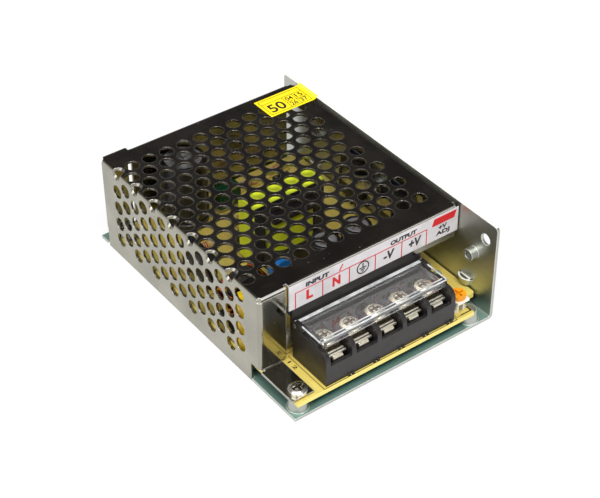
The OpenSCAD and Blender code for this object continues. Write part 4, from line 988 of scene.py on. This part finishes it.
class OBJECT_OT_part_marks(bpy.types.Operator):
    """Adds pin marks to the chips, signs to the bridge and the loose end of the transformer's tape"""
    bl_idname = "object.part_marks"
    bl_label = "Part Marks"

    def execute(self, context):
        ink = bmesh.new()
        for name in ("control_chip", "optocoupler"):
            lo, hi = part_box(name)
            flat = Matrix.Translation((0, 0, hi[2] + LIFT))
            circle_line(ink, flat, lo[0] / MM + 1.7, hi[1] / MM - 0.9, 0.4, 0.14)
        lo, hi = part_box("bridge_rectifier")
        side = Matrix.Translation((hi[0] + LIFT, 0, 0)) @ Matrix.Rotation(math.pi / 2, 4, "Z") \
            @ Matrix.Rotation(math.pi / 2, 4, "X")
        words(ink, side, "+", lo[1] / MM + 1.6, 15.2, lo[1] / MM + 3.0, 16.6)
        words(ink, side, "-", hi[1] / MM - 3.0, 15.8, hi[1] / MM - 1.6, 16.1)
        piece("part_marks", ink, "stripe")
        lo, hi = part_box("transformer_tape")
        tape = bmesh.new()
        add_box(tape, (hi[0] - 0.0085, lo[1] + 0.0002, hi[2] - LIFT),
                (hi[0] - 0.0003, hi[1] - 0.0002, hi[2] + 0.00006))
        piece("tape_end", tape, "bright tape")
        return {"FINISHED"}


class OBJECT_OT_studio(bpy.types.Operator):
    """Adds the floor, the lamps, the world and the camera"""
    bl_idname = "object.studio"
    bl_label = "Studio"

    def execute(self, context):
        s = context.scene.stage_settings
        scene = context.scene
        scene.view_settings.view_transform = "Standard"

        bm = bmesh.new()
        bmesh.ops.create_grid(bm, x_segments=1, y_segments=1, size=s.floor_size / 2)
        m, b, p = material("studio floor", (0.82, 0.82, 0.82, 1), 0.6)
        white = b.node("ShaderNodeEmission")
        white.inputs[0].default_value = (1, 1, 1, 1)
        blend(m, b, b.times(seen_rays(b), 0.86), p.outputs[0], white.outputs[0])
        MATS["floor"] = m
        piece("studio_floor", bm, "floor", body=None)

        world = bpy.data.worlds.new("studio world")
        world.use_nodes = True
        w = Build(world.node_tree)
        back = [n for n in world.node_tree.nodes if n.type == "BACKGROUND"][0]
        w.link(w.ramp(seen_rays(w), 0, 1, s.world_level, 1.0), back.inputs[1])
        back.inputs[0].default_value = (1, 1, 1, 1)
        scene.world = world

        def lamp(name, power, size, place):
            data = bpy.data.lights.new(name, "AREA")
            data.energy = power
            data.size = size
            o = bpy.data.objects.new(name, data)
            o.location = place
            o.rotation_euler = (Vector((0, 0, 0.01)) - Vector(place)).to_track_quat("-Z", "Y").to_euler()
            scene.collection.objects.link(o)

        lamp("key_lamp", s.key_power, 0.45, (-0.12, -0.45, 0.9))
        lamp("fill_lamp", s.fill_power, 0.6, (-0.5, -0.1, 0.7))

        # a dark ceiling, seen only in reflections
        bm = bmesh.new()
        bmesh.ops.create_grid(bm, x_segments=1, y_segments=1, size=2.6)
        bmesh.ops.translate(bm, vec=(0.4, 0.2, 1.1), verts=bm.verts[:])
        m, b, p = material("dark ceiling", (0.0, 0.0, 0.0, 1), 0.9)
        path = b.node("ShaderNodeLightPath")
        clear = b.node("ShaderNodeBsdfTransparent")
        dark = b.node("ShaderNodeEmission")
        dark.inputs[0].default_value = (0.2, 0.195, 0.19, 1)
        blend(m, b, path.outputs["Is Glossy Ray"], clear.outputs[0], dark.outputs[0])
        MATS["ceiling"] = m
        piece("dark_ceiling", bm, "ceiling", body=None)

        cam = bpy.data.cameras.new("camera")
        cam.lens = CAMERA_LENS
        cam.sensor_width = 36.0
        cam.clip_start = 0.01
        o = bpy.data.objects.new("camera", cam)
        o.location = CAMERA_PLACE
        o.rotation_euler = [math.radians(a) for a in CAMERA_TURN]
        scene.collection.objects.link(o)
        scene.camera = o
        return {"FINISHED"}


class VIEW3D_PT_power_supply(bpy.types.Panel):
    """Lists the steps of the power supply"""
    bl_label = "Power Supply"
    bl_idname = "VIEW3D_PT_power_supply"
    bl_space_type = "VIEW_3D"
    bl_region_type = "UI"
    bl_category = "Power Supply"

    def draw(self, context):
        for op in STEPS:
            self.layout.operator(op.bl_idname)


STEPS = (OBJECT_OT_studio, OBJECT_OT_case_finish, OBJECT_OT_front_label, OBJECT_OT_wire_ribs,
         OBJECT_OT_hook_rims, OBJECT_OT_lid_rims, OBJECT_OT_wall_sticker, OBJECT_OT_board_marks,
         OBJECT_OT_capacitor_tops, OBJECT_OT_resistor_bands, OBJECT_OT_part_marks)
CLASSES = (CaseSettings, StageSettings) + STEPS + (VIEW3D_PT_power_supply,)


def register():
    for c in CLASSES:
        bpy.utils.register_class(c)
    bpy.types.Scene.case_settings = bpy.props.PointerProperty(type=CaseSettings)
    bpy.types.Scene.stage_settings = bpy.props.PointerProperty(type=StageSettings)


def unregister():
    del bpy.types.Scene.case_settings
    del bpy.types.Scene.stage_settings
    for c in reversed(CLASSES):
        bpy.utils.unregister_class(c)


def main():
    register()
    bpy.ops.object.studio()
    bpy.ops.object.case_finish()
    bpy.ops.object.front_label()
    bpy.ops.object.wire_ribs()
    bpy.ops.object.hook_rims()
    bpy.ops.object.lid_rims()
    bpy.ops.object.wall_sticker()
    bpy.ops.object.board_marks()
    bpy.ops.object.capacitor_tops()
    bpy.ops.object.resistor_bands()
    bpy.ops.object.part_marks()


if __name__ == "__main__":
    main()
